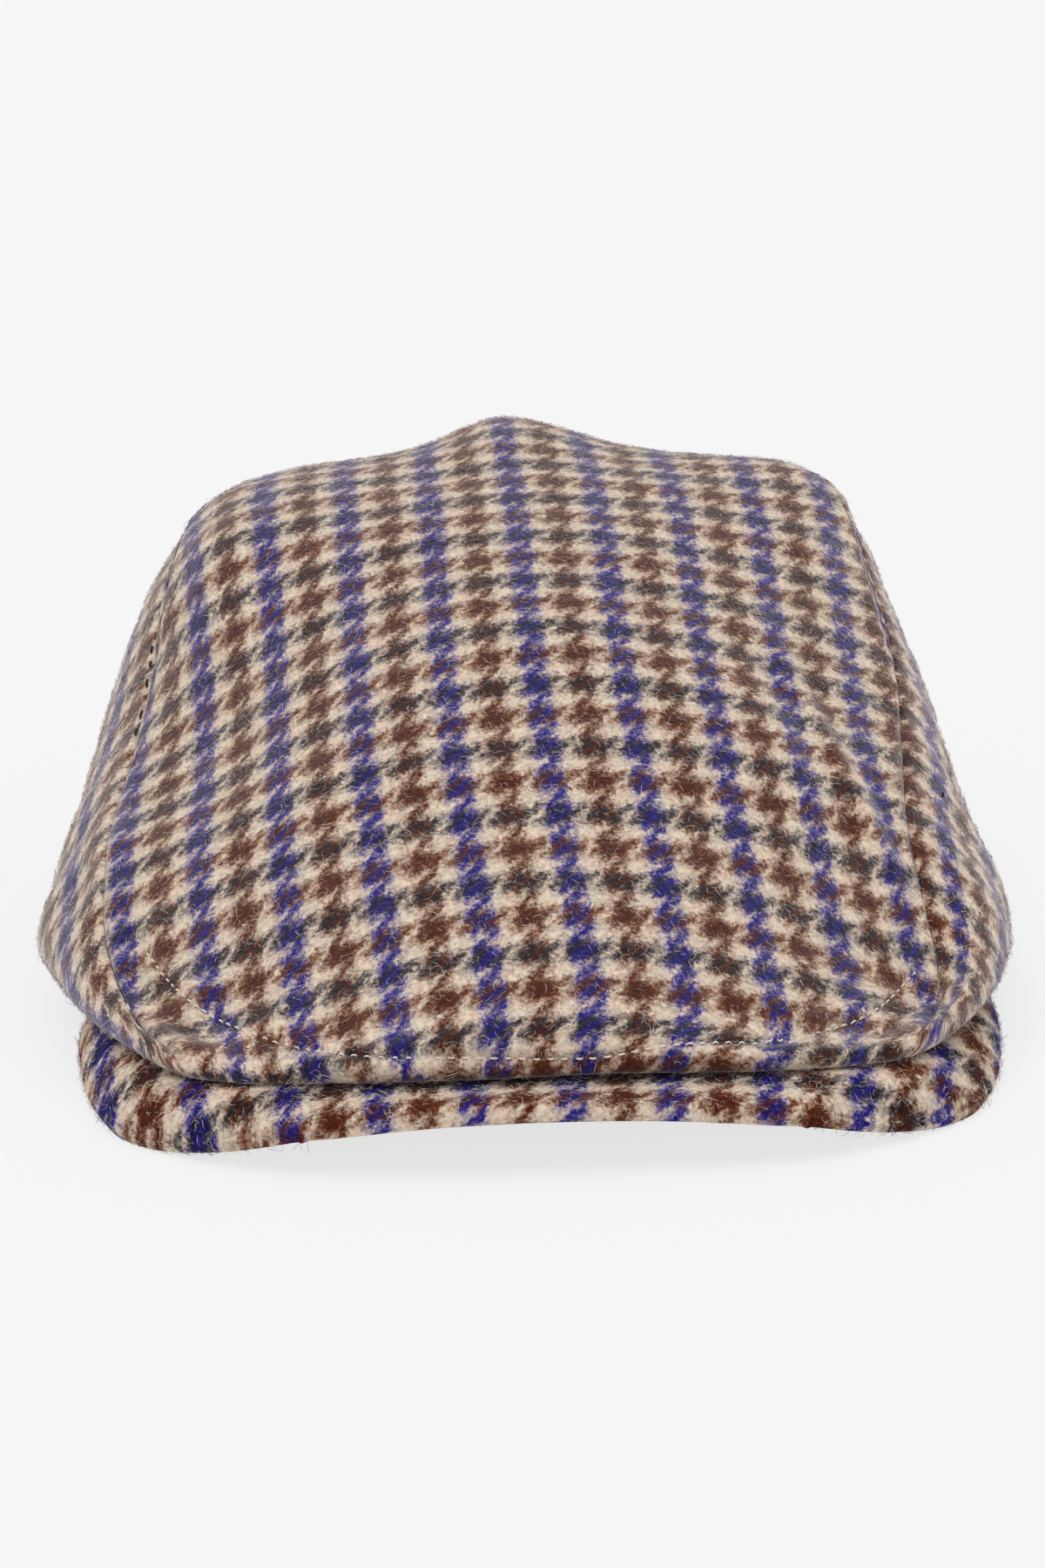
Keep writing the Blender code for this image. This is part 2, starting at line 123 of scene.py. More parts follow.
# Half of the peak from the tip of its horn (k 0) to the centre line (k 1); z is the underside.
PEAK = table("row     k     out_x  out_y  out_z  mid_x  mid_y  mid_z  in_x   in_y   in_z",
             ("tip",   0.00,  92.2,  64.5,   5.0,  88.0,  64.0,   7.0,  84.0,  63.0,   6.9),
             ("horn",  0.12,  91.2,  50.5,   2.9,  86.2,  51.5,   8.2,  80.0,  54.0,   7.9),
             ("horn2", 0.25,  88.6,  34.0,   0.8,  81.8,  38.5,   8.3,  73.5,  44.0,   8.0),
             ("corner", 0.40,  81.7,  15.3,   0.3,  74.0,  24.0,   8.3,  63.0,  32.0,   8.0),
             ("front", 0.55,  68.5,   3.2,   0.8,  63.5,  12.0,   8.5,  50.0,  23.0,   8.2),
             ("front2", 0.70,  48.5,  -7.4,   6.3,  46.0,   5.0,   9.4,  36.0,  17.0,   9.0),
             ("front3", 0.85, 25.0, -11.0,  10.8,  24.0,   2.5,  10.0,  19.0,  13.0,   9.6),
             ("mid",  1.00,   0.0, -12.0,  12.2,   0.0,   2.0,  10.1,   0.0,  12.0,   9.7))
PEAK_SHIFT = -0.7

# How far down a side panel (share v of its height) the seam with the top panel lies: at the
# front corners the seam runs down across the roll into the crevice above the peak.
SEAM_V = dict(
    left=table("row k v", ("tip", 0.0, 0.90), ("a", 0.02, 0.90), ("b", 0.04, 0.62), ("c", 0.06, 0.40),
               ("d", 0.08, 0.27), ("e", 0.10, 0.18), ("f", 0.13, 0.12), ("g", 0.20, 0.11),
               ("h", 0.30, 0.07), ("i", 0.42, 0.0), ("j", 1.0, 0.0)),
    right=table("row k v", ("tip", 0.0, 0.90), ("a", 0.01, 0.90), ("b", 0.02, 0.80), ("c", 0.04, 0.42),
                ("d", 0.06, 0.17), ("e", 0.08, 0.09), ("f", 0.11, 0.04), ("g", 0.16, 0.0), ("j", 1.0, 0.0)))
TIP_K = dict(left=0.018, right=0.008)     # where the seam enters the crevice
CORNER_K = dict(left=0.075, right=0.05)   # where the seam passes the end of the brow


# ------------------------------------------------------------------ curves through the tables
def smooth(xs, ys, x):
    """Natural cubic through a table's rows."""
    xs, ys, x = (np.asarray(a, float) for a in (xs, ys, x))
    n, h = len(xs), np.diff(xs)
    a, r = np.zeros((n, n)), np.zeros(n)
    a[0, 0] = a[-1, -1] = 1.0
    for i in range(1, n - 1):
        a[i, i - 1], a[i, i], a[i, i + 1] = h[i - 1], 2 * (h[i - 1] + h[i]), h[i]
        r[i] = 3 * ((ys[i + 1] - ys[i]) / h[i] - (ys[i] - ys[i - 1]) / h[i - 1])
    c = np.linalg.solve(a, r)
    b = (ys[1:] - ys[:-1]) / h - h * (2 * c[:-1] + c[1:]) / 3
    d = (c[1:] - c[:-1]) / (3 * h)
    k = np.clip(np.searchsorted(xs, x) - 1, 0, n - 2)
    u = x - xs[k]
    return ys[k] + b[k] * u + c[k] * u ** 2 + d[k] * u ** 3


def mirrored(tab, col, k, odd):
    """A half table read past the centre line, so that the two halves meet smoothly."""
    ks = np.concatenate([tab["k"], 2 - tab["k"][-2::-1]])
    vs = np.concatenate([tab[col], (-1 if odd else 1) * tab[col][-2::-1]])
    return smooth(ks, vs, k)


def hermite(p, tp, q, tq, t):
    """Point at t on the curve from p (tangent tp) to q (tangent tq)."""
    return ((2 * t ** 3 - 3 * t ** 2 + 1) * p + (t ** 3 - 2 * t ** 2 + t) * tp
            + (3 * t ** 2 - 2 * t ** 3) * q + (t ** 3 - t ** 2) * tq)


def unit(v):
    return v / np.maximum(np.linalg.norm(v, axis=-1, keepdims=True), 1e-9)


def top_z(x, y):
    """Height of the top panel over a point of the plan."""
    x, y = np.asarray(x, float), np.asarray(y, float)
    at = {n: smooth(TOP["y"], TOP[n], y) for n in TOP if n != "y"}
    u = x - at["axis"]
    fall = np.where(u < 0, at["fall_l"], at["fall_r"])
    edge = np.where(u < 0, at["edge_l"], at["edge_r"])
    over = np.clip((np.abs(u) - SHOULDER_AT) / SHOULDER_WIDE, 0, None)
    z = at["z"] - fall * (u / 75.0) ** 2 - edge * over ** 2
    reach = np.where(x < RIDGE["x"], RIDGE["left"], RIDGE["right"])
    return z + RIDGE["high"] * np.exp(-((x - RIDGE["x"]) / reach) ** 2
                                      - ((y - RIDGE["y"]) / RIDGE["along"]) ** 2)


def rim_z(k):
    """Height of the hem: on the peak in front, on the ground behind it."""
    t = np.clip((np.asarray(k, float) - DROP[0]) / (DROP[1] - DROP[0]), 0, 1)
    return REST_ON_PEAK * (1 - t * t * (3 - 2 * t))


def side_lines(k, side):
    """Seam, widest line and hem line of a side panel at station k, and its slope and swell."""
    sx = -1.0 if side == "left" else 1.0
    g = lambda n: mirrored(SIDE, n, k, n.endswith("_x"))
    seam = np.stack([sx * g(side + "_x"), g(side + "_y")], -1)
    seam = np.concatenate([seam, top_z(seam[..., 0], seam[..., 1])[..., None]], -1)
    lean = LEAN[0] * np.clip(np.minimum(k, 2 - np.asarray(k, float)) / LEAN[1], 0, 1) ** 2
    wide = np.stack([sx * g("wide_x") + lean, g("wide_y"), g("wide_z")], -1)
    rim = np.stack([sx * g("rim_x") + lean, g("rim_y"), rim_z(k)], -1)
    return seam, wide, rim, g("slope"), g("swell")


def side_point(k, v, side):
    """Side surface: v 0 at the top panel's edge, WIDE_V at the widest line, RIM_V to 1 the hem."""
    k, v = np.asarray(k, float), np.asarray(v, float)[..., None]
    sx = -1.0 if side == "left" else 1.0
    seam, wide, rim, slope, swell = side_lines(k, side)
    step = 0.004
    along = unit((side_lines(k + step, side)[1] - side_lines(k - step, side)[1])[..., :2])
    out = np.stack([along[..., 1] * sx, -along[..., 0] * sx], -1)
    flat = np.concatenate([out, np.zeros_like(out[..., :1])], -1)
    down = np.zeros_like(flat)
    down[..., 2] = -1.0
    a = np.radians(slope)[..., None]
    leave = flat * np.cos(a) - down * np.sin(a)
    size = np.linalg.norm(wide - seam, axis=-1, keepdims=True) * swell[..., None]
    upper = hermite(seam, size * leave, wide, size * down, np.clip(v / WIDE_V, 0, 1))
    low = np.linalg.norm(rim - wide, axis=-1, keepdims=True)
    t = np.clip((v - WIDE_V) / (RIM_V - WIDE_V), 0, 1)
    lower = hermite(wide, 0.5 * low * down, rim, -0.8 * low * flat, t)
    turned = HEM * np.clip(0.3 + k / 0.06, 0.3, 1.0)[..., None]
    hem = rim - flat * turned * np.clip((v - RIM_V) / (1 - RIM_V), 0, 1)
    p = np.where(v <= WIDE_V, upper, np.where(v <= RIM_V, lower, hem))
    kc, deep = VALLEY[side]
    dent = deep * np.exp(-((k[..., None] - kc) / VALLEY["wide_k"]) ** 2
                         - ((v - VALLEY["v"]) / VALLEY["wide_v"]) ** 2)
    hang = np.clip((np.minimum(k, 2 - k) - FLATTER["start"]) / (FLATTER["full"] - FLATTER["start"]),
                   0, 1) * (1 - np.clip((k - 0.85) / 0.15, 0, 1))
    flatter = FLATTER[side] * hang[..., None] * np.sin(np.pi * np.clip(v / WIDE_V, 0, 1))
    return p - flat * (dent * 0.8 + flatter) + down * dent * 0.6


def fold_point(x, r):
    """Front of the top panel at x: r 0 tucked end, 0.2 crease, 0.5 foremost line, 1 brow."""
    f = {n: smooth(FOLD["x"], FOLD[n], x) for n in FOLD if n != "x"}
    x = np.asarray(x, float)
    pt = lambda y, z: np.stack([x, y, z], -1)
    brow = pt(f["brow_y"], top_z(x, f["brow_y"]))
    out = pt(f["out_y"], f["out_z"])
    crease = pt(f["crease_y"], f["crease_z"])
    tuck = pt(f["crease_y"] + TUCK, f["crease_z"] + 0.1)
    grad = (top_z(x, f["brow_y"] + 1) - top_z(x, f["brow_y"] - 1)) / 2
    back = unit(np.stack([np.zeros_like(x), np.ones_like(x), grad], -1))
    up = np.zeros_like(back)
    up[..., 2] = 1.0
    away = np.zeros_like(back)
    away[..., 1] = 1.0
    r = np.asarray(r, float)[..., None]
    high = np.linalg.norm(brow - out, axis=-1, keepdims=True)
    low = np.linalg.norm(out - crease, axis=-1, keepdims=True)
    face = hermite(out, high * 1.1 * up, brow, high * 1.1 * back, np.clip((r - 0.5) / 0.5, 0, 1))
    under = hermite(crease, -low * 1.3 * away, out, low * 1.3 * up, np.clip((r - 0.2) / 0.3, 0, 1))
    inner = tuck + (crease - tuck) * np.clip(r / 0.2, 0, 1)
    return np.where(r >= 0.5, face, np.where(r >= 0.2, under, inner))


def top_point(k, w):
    """Top panel behind its brow: k along the side seams, w 0 left edge to 1 right edge."""
    k, w = np.asarray(k, float), np.asarray(w, float)
    left = side_lines(k, "left")[0]
    right = side_lines(k, "right")[0]
    chord = left + (right - left) * w[..., None]
    x, y = chord[..., 0], chord[..., 1]
    brow = smooth(FOLD["x"], FOLD["brow_y"], np.clip(x, FOLD["x"][0], FOLD["x"][-1]))
    ends = FOLD["brow_y"][0] + (FOLD["brow_y"][-1] - FOLD["brow_y"][0]) * w
    y = y + (brow - ends) * np.clip(1 - k / 0.24, 0, 1) ** 1.5
    turn = TURN_K + (1 - TURN_K) * 2 * w
    arc_l = side_lines(np.minimum(turn, 1.0), "left")[0]
    arc_r = side_lines(np.minimum(2 - turn, 1.0), "right")[0]
    arc = np.where((w < 0.5)[..., None], arc_l, arc_r)
    b = np.clip((k - 0.3) / (TURN_K - 0.3), 0, 1)
    b = b * b * (3 - 2 * b)
    x, y = x + (arc[..., 0] - x) * b, y + (arc[..., 1] - y) * b
    return np.stack([x, y, top_z(x, y)], -1)


def peak_lines(k):
    """Outer edge, line under the fold and inner edge of the peak's underside, k 0 to 2."""
    return [np.stack([(-1 if a == "x" else 1) * mirrored(PEAK, "%s_%s" % (n, a), k, a == "x")
                      + (PEAK_SHIFT if a == "x" else 0) for a in "xyz"], -1) for n in ("out", "mid", "in")]


def seam_v(k, side):
    """Share of a side panel's height at which its seam lies, without kinks."""
    t = SEAM_V[side]
    return sum(np.interp(np.asarray(k, float) + s, t["k"], t["v"]) for s in (-0.008, -0.004, 0, 0.004, 0.008)) / 5


# ------------------------------------------------------------------ grids of points
def resample(points, tags, n):
    """n points evenly along a polyline, with a tag carried along."""
    step = np.linalg.norm(np.diff(points, axis=0), axis=1)
    keep = np.concatenate([[True], step > 0.02])
    points, tags = points[keep], tags[keep]
    s = np.concatenate([[0], np.cumsum(np.linalg.norm(np.diff(points, axis=0), axis=1))])
    t = np.linspace(0, s[-1], n)
    return (np.stack([np.interp(t, s, points[:, i]) for i in range(3)], -1), np.interp(t, s, tags))


def lane(side, k0, v0, k1, v1, n=24):
    """Points over the side surface from (k0, v0) to (k1, v1)."""
    t = np.linspace(0, 1, n)
    return side_point(k0 + (k1 - k0) * t, v0 + (v1 - v0) * t, side)


def top_rows(n_fold, n_top, cols):
    """The top panel's rows from the tucked end under the fold to the back seam."""
    w = np.linspace(0, 1, 121)
    rows, tags, kinds = [], [], []
    fold_r = [0.0, 0.1] + list(np.linspace(0.2, 1.0, n_fold + 1)[:-1])
    for r in fold_r:
        grow = 1 + (WIDER - 1) * min(max((r - 0.2) / 0.8, 0.0), 1.0)
        x = (-58.0 + 116.0 * w) * grow
        mid = fold_point(x, np.full_like(x, r))
        v = np.interp(r, [0.0, 0.2, 0.5, 1.0], [1.0, RIM_V, WIDE_V, 0.0])
        share = max((r - 0.2) / 0.8, 0.0)
        ends = []
        for side in ("left", "right"):
            k1 = TIP_K[side] + (CORNER_K[side] - TIP_K[side]) * share ** 0.8
            v1 = v if r < 0.2 else float(seam_v(k1, side))
            ends.append(lane(side, 0.002, v, k1, v1))
        pts = np.concatenate([ends[0][::-1], mid, ends[1]])
        tag = np.concatenate([np.zeros(24), np.zeros(len(w)), np.zeros(24)])
        p, t = resample(pts, tag, cols)
        rows.append(p), tags.append(t), kinds.append(r)
    for k in np.linspace(0, TURN_K, n_top):
        mid = top_point(np.full_like(w, k), w)
        ends = []
        for side in ("left", "right"):
            k1 = k + CORNER_K[side] * max(0.0, 1 - k / 0.22) ** 1.6
            v1 = float(seam_v(k1, side)) if k < TURN_K else 0.0
            ends.append(lane(side, k, 0.0, k1, v1))
        pts = np.concatenate([ends[0][::-1][:-1], mid, ends[1][1:]])
        tag = np.concatenate([np.zeros(23), np.ones(len(w)), np.zeros(23)])
        p, t = resample(pts, tag, cols)
        rows.append(p), tags.append(t), kinds.append(1.0 + k)
    return np.stack(rows), np.stack(tags), np.array(kinds)


def even_out(p, times):
    """Softens joins between the parts of a grid; its border stays."""
    p = p.copy()
    for _ in range(times):
        p[1:-1, 1:-1] += 0.5 * ((p[:-2, 1:-1] + p[2:, 1:-1] + p[1:-1, :-2] + p[1:-1, 2:]) / 4 - p[1:-1, 1:-1])
    return p


def normals(p, inside):
    """Unit normals of a grid of points, away from the inside point."""
    a = np.gradient(p, axis=0)
    b = np.gradient(p, axis=1)
    n = unit(np.cross(a, b))
    s = np.sum(n * (p - inside))
    return -n if s < 0 else n


def calm_normals(p, inside, times=14):
    """Normals evened out over a grid, which stay sound where its back corners are drawn flat."""
    n = normals(p, inside)
    turned = ((n * (p - inside)).sum(-1) < 0) & (p[..., 1] > 120.0)
    n[turned] = -n[turned]
    for _ in range(times):
        q = np.pad(n, ((1, 1), (1, 1), (0, 0)), "edge")
        n = unit(n + 0.5 * (q[:-2, 1:-1] + q[2:, 1:-1] + q[1:-1, :-2] + q[1:-1, 2:]))
    return n


def arcs(p, axis):
    """Distance along a grid's lines from their start."""
    d = np.linalg.norm(np.diff(p, axis=axis), axis=-1)
    c = np.cumsum(d, axis=axis)
    return np.concatenate([np.zeros_like(np.take(c, [0], axis=axis)), c], axis=axis)


def relax(p, uv, fixed, times):
    """Lays a grid out flat like cloth: every step keeps its length in uv as near as it can."""
    uv = uv.copy()
    shifts = [(0, 1), (1, 0), (1, 1), (1, -1)]
    free = ~fixed
    r, c = uv.shape[:2]
    links = []
    for di, dj in shifts:
        a = (slice(0, r - di), slice(max(0, -dj), c - max(0, dj)))
        b = (slice(di, r), slice(max(0, dj), c - max(0, -dj)))
        links.append((a, b, np.linalg.norm(p[b] - p[a], axis=-1)[..., None]))
    count = np.zeros((r, c, 1))
    for a, b, _ in links:
        count[a] += 1
        count[b] += 1
    for _ in range(times):
        move = np.zeros_like(uv)
        for a, b, size in links:
            d = uv[b] - uv[a]
            now = np.maximum(np.linalg.norm(d, axis=-1, keepdims=True), 1e-6)
            fix = d * ((now - size) / now) * 0.5
            move[a] += fix
            move[b] -= fix
        uv = np.where(free[..., None], uv + 1.5 * move / count, uv)
    return uv


# ------------------------------------------------------------------ small unevenness of the cloth
def waves(p, size, seed, n=14):
    """A smooth seeded field over space with features of about this size, roughly -1 to 1."""
    rng = np.random.default_rng(seed)
    out = np.zeros(p.shape[:-1])
    for _ in range(n):
        d = rng.normal(size=3)
        d *= 2 * np.pi / (size * rng.uniform(0.7, 1.6) * np.linalg.norm(d))
        out += np.sin(p @ d + rng.uniform(0, 2 * np.pi))
    return out / math.sqrt(n / 2) * 0.6


def line_distance(p, line, reach=12.0):
    """Distance of each point to a dense polyline, and how far along it the nearest point is."""
    flat = p.reshape(-1, 3)
    best = np.full(len(flat), 1e9)
    at = np.zeros(len(flat))
    lo, hi = line.min(0) - reach, line.max(0) + reach
    near = np.all((flat > lo) & (flat < hi), axis=1)
    s = np.concatenate([[0], np.cumsum(np.linalg.norm(np.diff(line, axis=0), axis=1))])
    idx = np.nonzero(near)[0]
    for c in range(0, len(idx), 4000):
        q = flat[idx[c:c + 4000]]
        d = np.linalg.norm(q[:, None] - line[None], axis=-1)
        j = d.argmin(1)
        best[idx[c:c + 4000]] = d[np.arange(len(q)), j]
        at[idx[c:c + 4000]] = s[j]
    return best.reshape(p.shape[:-1]), at.reshape(p.shape[:-1])


# ------------------------------------------------------------------ meshes
ORIGIN = np.array([MID_X, MID_Y, 0.0])


def mesh_object(name, verts, faces, uvs=None, smooth_shade=True):
    """A mesh object from points in mm and equal-sized faces; uvs maps a layer name to loop uvs."""
    faces = np.asarray(faces, np.int32)
    n, m = faces.shape
    me = bpy.data.meshes.new(name)
    me.vertices.add(len(verts))
    me.vertices.foreach_set("co", ((np.asarray(verts) - ORIGIN) * MM).astype(np.float32).ravel())
    me.loops.add(n * m)
    me.loops.foreach_set("vertex_index", faces.ravel())
    me.polygons.add(n)
    me.polygons.foreach_set("loop_start", np.arange(0, n * m, m, dtype=np.int32))
    me.polygons.foreach_set("use_smooth", np.full(n, smooth_shade))
    me.update(calc_edges=True)
    for layer, values in (uvs or {}).items():
        lay = me.uv_layers.new(name=layer)
        lay.data.foreach_set("uv", np.asarray(values, np.float32).ravel())
    ob = bpy.data.objects.new(name, me)
    bpy.context.scene.collection.objects.link(ob)
    return ob


def strip_faces(a, b):
    """Triangles between two matching lines of vertex numbers, b with half the points of a."""
    out = []
    for j in range(len(b) - 1):
        a0, a1, a2, b0, b1 = a[2 * j], a[2 * j + 1], a[2 * j + 2], b[j], b[j + 1]
        out += [(a0, a1, b0), (a1, b1, b0), (a1, a2, b1)]
    return out


def cloth_wall(name, outer, inner, cloth):
    """A closed wall: a fine outer grid, an inner grid half as fine, and the edges between."""
    r, c = outer.shape[:2]
    ids = np.arange(r * c).reshape(r, c)
    inn = inner[::2, ::2]
    ri, ci = inn.shape[:2]
    iid = r * c + np.arange(ri * ci).reshape(ri, ci)
    quad = np.stack([ids[:-1, :-1], ids[:-1, 1:], ids[1:, 1:], ids[1:, :-1]], -1).reshape(-1, 4)
    tri = np.concatenate([quad[:, [0, 1, 2]], quad[:, [0, 2, 3]]])
    q2 = np.stack([iid[:-1, :-1], iid[1:, :-1], iid[1:, 1:], iid[:-1, 1:]], -1).reshape(-1, 4)
    tri2 = np.concatenate([q2[:, [0, 1, 2]], q2[:, [0, 2, 3]]])
    edge = (strip_faces(ids[0][::-1], iid[0][::-1]) + strip_faces(ids[-1], iid[-1])
            + strip_faces(ids[:, 0], iid[:, 0]) + strip_faces(ids[::-1, -1], iid[::-1, -1]))
    faces = np.concatenate([tri, tri2, np.array(edge)])
    verts = np.concatenate([outer.reshape(-1, 3), inn.reshape(-1, 3)])
    uv = np.concatenate([cloth.reshape(-1, 2), cloth[::2, ::2].reshape(-1, 2)])
    # faces point out when the signed volume is positive
    t = verts[faces]
    if np.einsum("ij,ij->i", t[:, 0], np.cross(t[:, 1], t[:, 2])).sum() < 0:
        faces = faces[:, ::-1]
    return mesh_object(name, verts, faces, {"cloth": uv[faces].reshape(-1, 2) / THREAD})


# ------------------------------------------------------------------ where the check lies
# The cloth's lengthwise thread through the front's middle column, and how the rows bow.
GRAIN = table("row      y      x",
              ("front",  0.0,  8.1), ("a", 33.0,  5.0), ("b", 66.0,  2.0), ("c", 99.0,  0.0),
              ("d",    134.0, -0.5), ("e", 170.0, -1.5), ("f", 235.0, -2.5))
BOW = 0.0017
BOW_X = -13.0
ROW_0 = 33.6           # plan position, on the middle line, of the dark row numbered 0
COLUMN = 4             # number of the middle column, in half repeats


def cloth_of_top(x, y):
    """Cloth coordinates (mm) of the top panel from the plan: blue columns at even half repeats."""
    ys = np.arange(-16.0, 250.0, 2.0)
    xs = np.arange(-100.0, 100.5, 1.0)
    gx, gy = np.meshgrid(xs, ys)
    z = top_z(gx, gy)
    run = np.sqrt(1 + (np.diff(z, axis=1)) ** 2)
    s = np.concatenate([np.zeros((len(ys), 1)), np.cumsum(run, 1)], 1)
    x0 = smooth(GRAIN["y"], GRAIN["x"], ys)
    s0 = np.array([np.interp(a, xs, b) for a, b in zip(x0, s)])
    s = s - s0[:, None]
    fi = np.clip((y - ys[0]) / 2.0, 0, len(ys) - 1.001)
    fj = np.clip(x - xs[0], 0, len(xs) - 1.001)
    i, j = fi.astype(int), fj.astype(int)
    a, b = fi - i, fj - j
    across = ((1 - a) * (1 - b) * s[i, j] + (1 - a) * b * s[i, j + 1]
              + a * (1 - b) * s[i + 1, j] + a * b * s[i + 1, j + 1])
    zm = top_z(np.zeros_like(ys) - 3.0, ys)
    t = np.concatenate([[0], np.cumsum(np.sqrt(4.0 + np.diff(zm) ** 2))])
    at = y - BOW * (x - BOW_X) ** 2
    along = np.interp(at, ys, t) - np.interp(ROW_0, ys, t)
    below = at < ys[0]
    along = np.where(below, along + (at - ys[0]) * 1.15, along)
    return np.stack([across + COLUMN * HALF, along], -1)


# ------------------------------------------------------------------ the panels
INSIDE = np.array([0.0, 110.0, 30.0])
SEAM_HALF = 0.09       # half of the clear space along a seam

# Line of the off-white top-stitching round the front of the top panel.
STITCH = table("row   x      y     z",
               ("a", -80.5, 57.3, 27.3), ("b", -72.0, 39.3, 22.0), ("c", -65.5, 29.0, 19.8),
               ("d", -58.3, 19.0, 19.4), ("e", -46.3, 8.0, 20.2), ("f", -35.5, 1.6, 20.1),
               ("g", -23.5, -0.3, 19.8), ("h", -11.9, -0.8, 19.5), ("i", -0.2, -1.0, 18.9),
               ("j", 9.6, -1.0, 19.1), ("k", 17.5, -0.1, 20.4), ("l", 25.1, 1.3, 20.8),
               ("m", 34.3, 3.8, 20.3), ("n", 40.8, 5.9, 19.6), ("o", 50.8, 14.0, 17.8),
               ("p", 61.9, 26.0, 16.7), ("q", 68.8, 36.1, 18.7), ("r", 73.7, 43.7, 20.3))
# Soft crease that runs down the right of the top panel.
CREASE = table("row x y z", ("a", 52.0, 118.0, 73.0), ("b", 58.0, 96.0, 62.0), ("c", 64.5, 80.0, 53.0),
               ("d", 70.0, 66.0, 43.0), ("e", 73.5, 56.0, 33.0))


def through(tab, n):
    """A dense smooth line through a table's points."""
    pts = np.stack([tab["x"], tab["y"], tab["z"]], -1)
    s = np.concatenate([[0], np.cumsum(np.linalg.norm(np.diff(pts, axis=0), axis=1))])
    t = np.linspace(0, s[-1], n)
    return np.stack([smooth(s, pts[:, i], t) for i in range(3)], -1)


def onto(line, grid, times=3):
    """A line moved onto the nearest points of a grid, softened."""
    flat = grid.reshape(-1, 3)
    out = []
    for q in line:
        d = np.linalg.norm(flat - q, axis=1)
        near = np.argsort(d)[:6]
        wgt = 1 / (d[near] + 0.3) ** 2
        out.append((flat[near] * wgt[:, None]).sum(0) / wgt.sum())
    out = np.array(out)
    for _ in range(times):
        out[1:-1] = (out[:-2] + 2 * out[1:-1] + out[2:]) / 4
    return out


def seam_shape(d, puff=0.16, deep=0.60, width=0.60, ridge=0.0):
    """How the cloth turns in at a seam and swells beside it, by distance from the seam."""
    return (-deep * np.exp(-(d / width) ** 1.2) + puff * np.exp(-((d - 3.2) / 2.2) ** 2)
            + ridge * np.exp(-((d - 1.3) / 0.8) ** 2))


PUFF = table("row         x     y  wide  long  high",
             ("left_a",  -71.0, 30.0,  9.0, 11.0,  2.2), ("left_b", -62.0, 16.5, 11.0, 6.5,  2.0),
             ("left_c",  -60.0,  6.0, 10.0,  5.0, -1.0), ("right_a", 63.0, 24.0, 12.0, 7.0,  2.0),
             ("right_b",  49.0, 15.0, 10.0,  5.0,  1.6), ("right_c", 60.0, 8.0, 12.0, 5.0, -1.0))
EASE = table("row         x     y  wide  long  across along",
             ("left_a",  -66.0, 12.0,  9.0, 12.0, -0.70,  0.00), ("left_b", -76.0, 33.0,  7.0, 9.0,  0.10,  0.00),
             ("left_c",  -71.0, 25.0,  7.0,  8.0,  0.00, -0.30), ("left_d", -52.0,  4.0,  8.0, 5.0,  0.00,  0.35),
             ("right_a",  50.0,  4.0, 14.0,  7.0, -0.55,  0.50), ("right_b", 58.0, 22.0,  8.0, 6.0, -0.15, -0.25),
             ("right_c",  66.0, 14.0,  5.0,  5.0, -0.10,  0.50), ("right_d", 66.0, 34.0,  8.0, 8.0, -0.30,  0.00),
             ("right_e",  72.0, 23.0,  4.0,  4.0,  0.45,  0.25))

# The two shoulders at the back of the crown: the left stands a little higher, the right lower.
SHOULDERS = table("row      x     y  wide  long  high", ("left", -55.0, 198.0, 30.0, 30.0, 1.1),
                  ("right", 82.0, 165.0, 9.0, 24.0, -2.6),
                  ("right_b", 64.0, 197.0, 9.0, 14.0, 1.2))


def spots(p, tab, col):
    """Sum of the table's soft spots over the plan."""
    return sum(h * np.exp(-((p[..., 0] - x) / w) ** 2 - ((p[..., 1] - y) / l) ** 2)
               for x, y, w, l, h in zip(tab["x"], tab["y"], tab["wide"], tab["long"], tab[col]))


def shoulder_tuck(p, d, deep, reach):
    """How much further the seam turns in where it passes over a shoulder."""
    return -deep * np.exp(-((p[..., 1] - 188.0) / 16.0) ** 2) * np.exp(-(d / reach) ** 2)


def unevenness(p):
    return (0.34 * waves(p, 46.0, 3) + 0.16 * waves(p, 21.0, 5) + 0.07 * waves(p, 9.0, 8)
            + 0.035 * waves(p, 4.5, 9))


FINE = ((31, 170, 181))
base, tags, kinds = top_rows(*FINE)
base = even_out(base, 8)
from_ends = arcs(base, 1)
inwards = np.clip(np.minimum(from_ends, from_ends[:, -1:] - from_ends) / 3.5, 0, 1)
base[..., 2] += (spots(base, PUFF, "high") * inwards ** 2 * (3 - 2 * inwards)
                 * np.clip((kinds[:, None] - 0.2) / 0.5, 0, 1))
base[..., 2] += spots(base, SHOULDERS, "high")
base[1:-1, 1:-1] = even_out(base, 3)[1:-1, 1:-1]
n0 = normals(base, INSIDE)

# distance from the seams: the two ends of each row, and the last row round the back
along_row = arcs(base, 1)
to_left, to_right = along_row, along_row[:, -1:] - along_row
down_col = arcs(base, 0)
to_back = down_col[-1:] - down_col
front = (kinds < 1.2)[:, None]
d_side = np.minimum(to_left, to_right)
d_seam = np.minimum(d_side, to_back)

stitch_line = onto(through(STITCH, 400), base)
d_stitch, s_stitch = line_distance(base, stitch_line)
crease_line = onto(through(CREASE, 120), base)
d_crease, s_crease = line_distance(base, crease_line, 20.0)

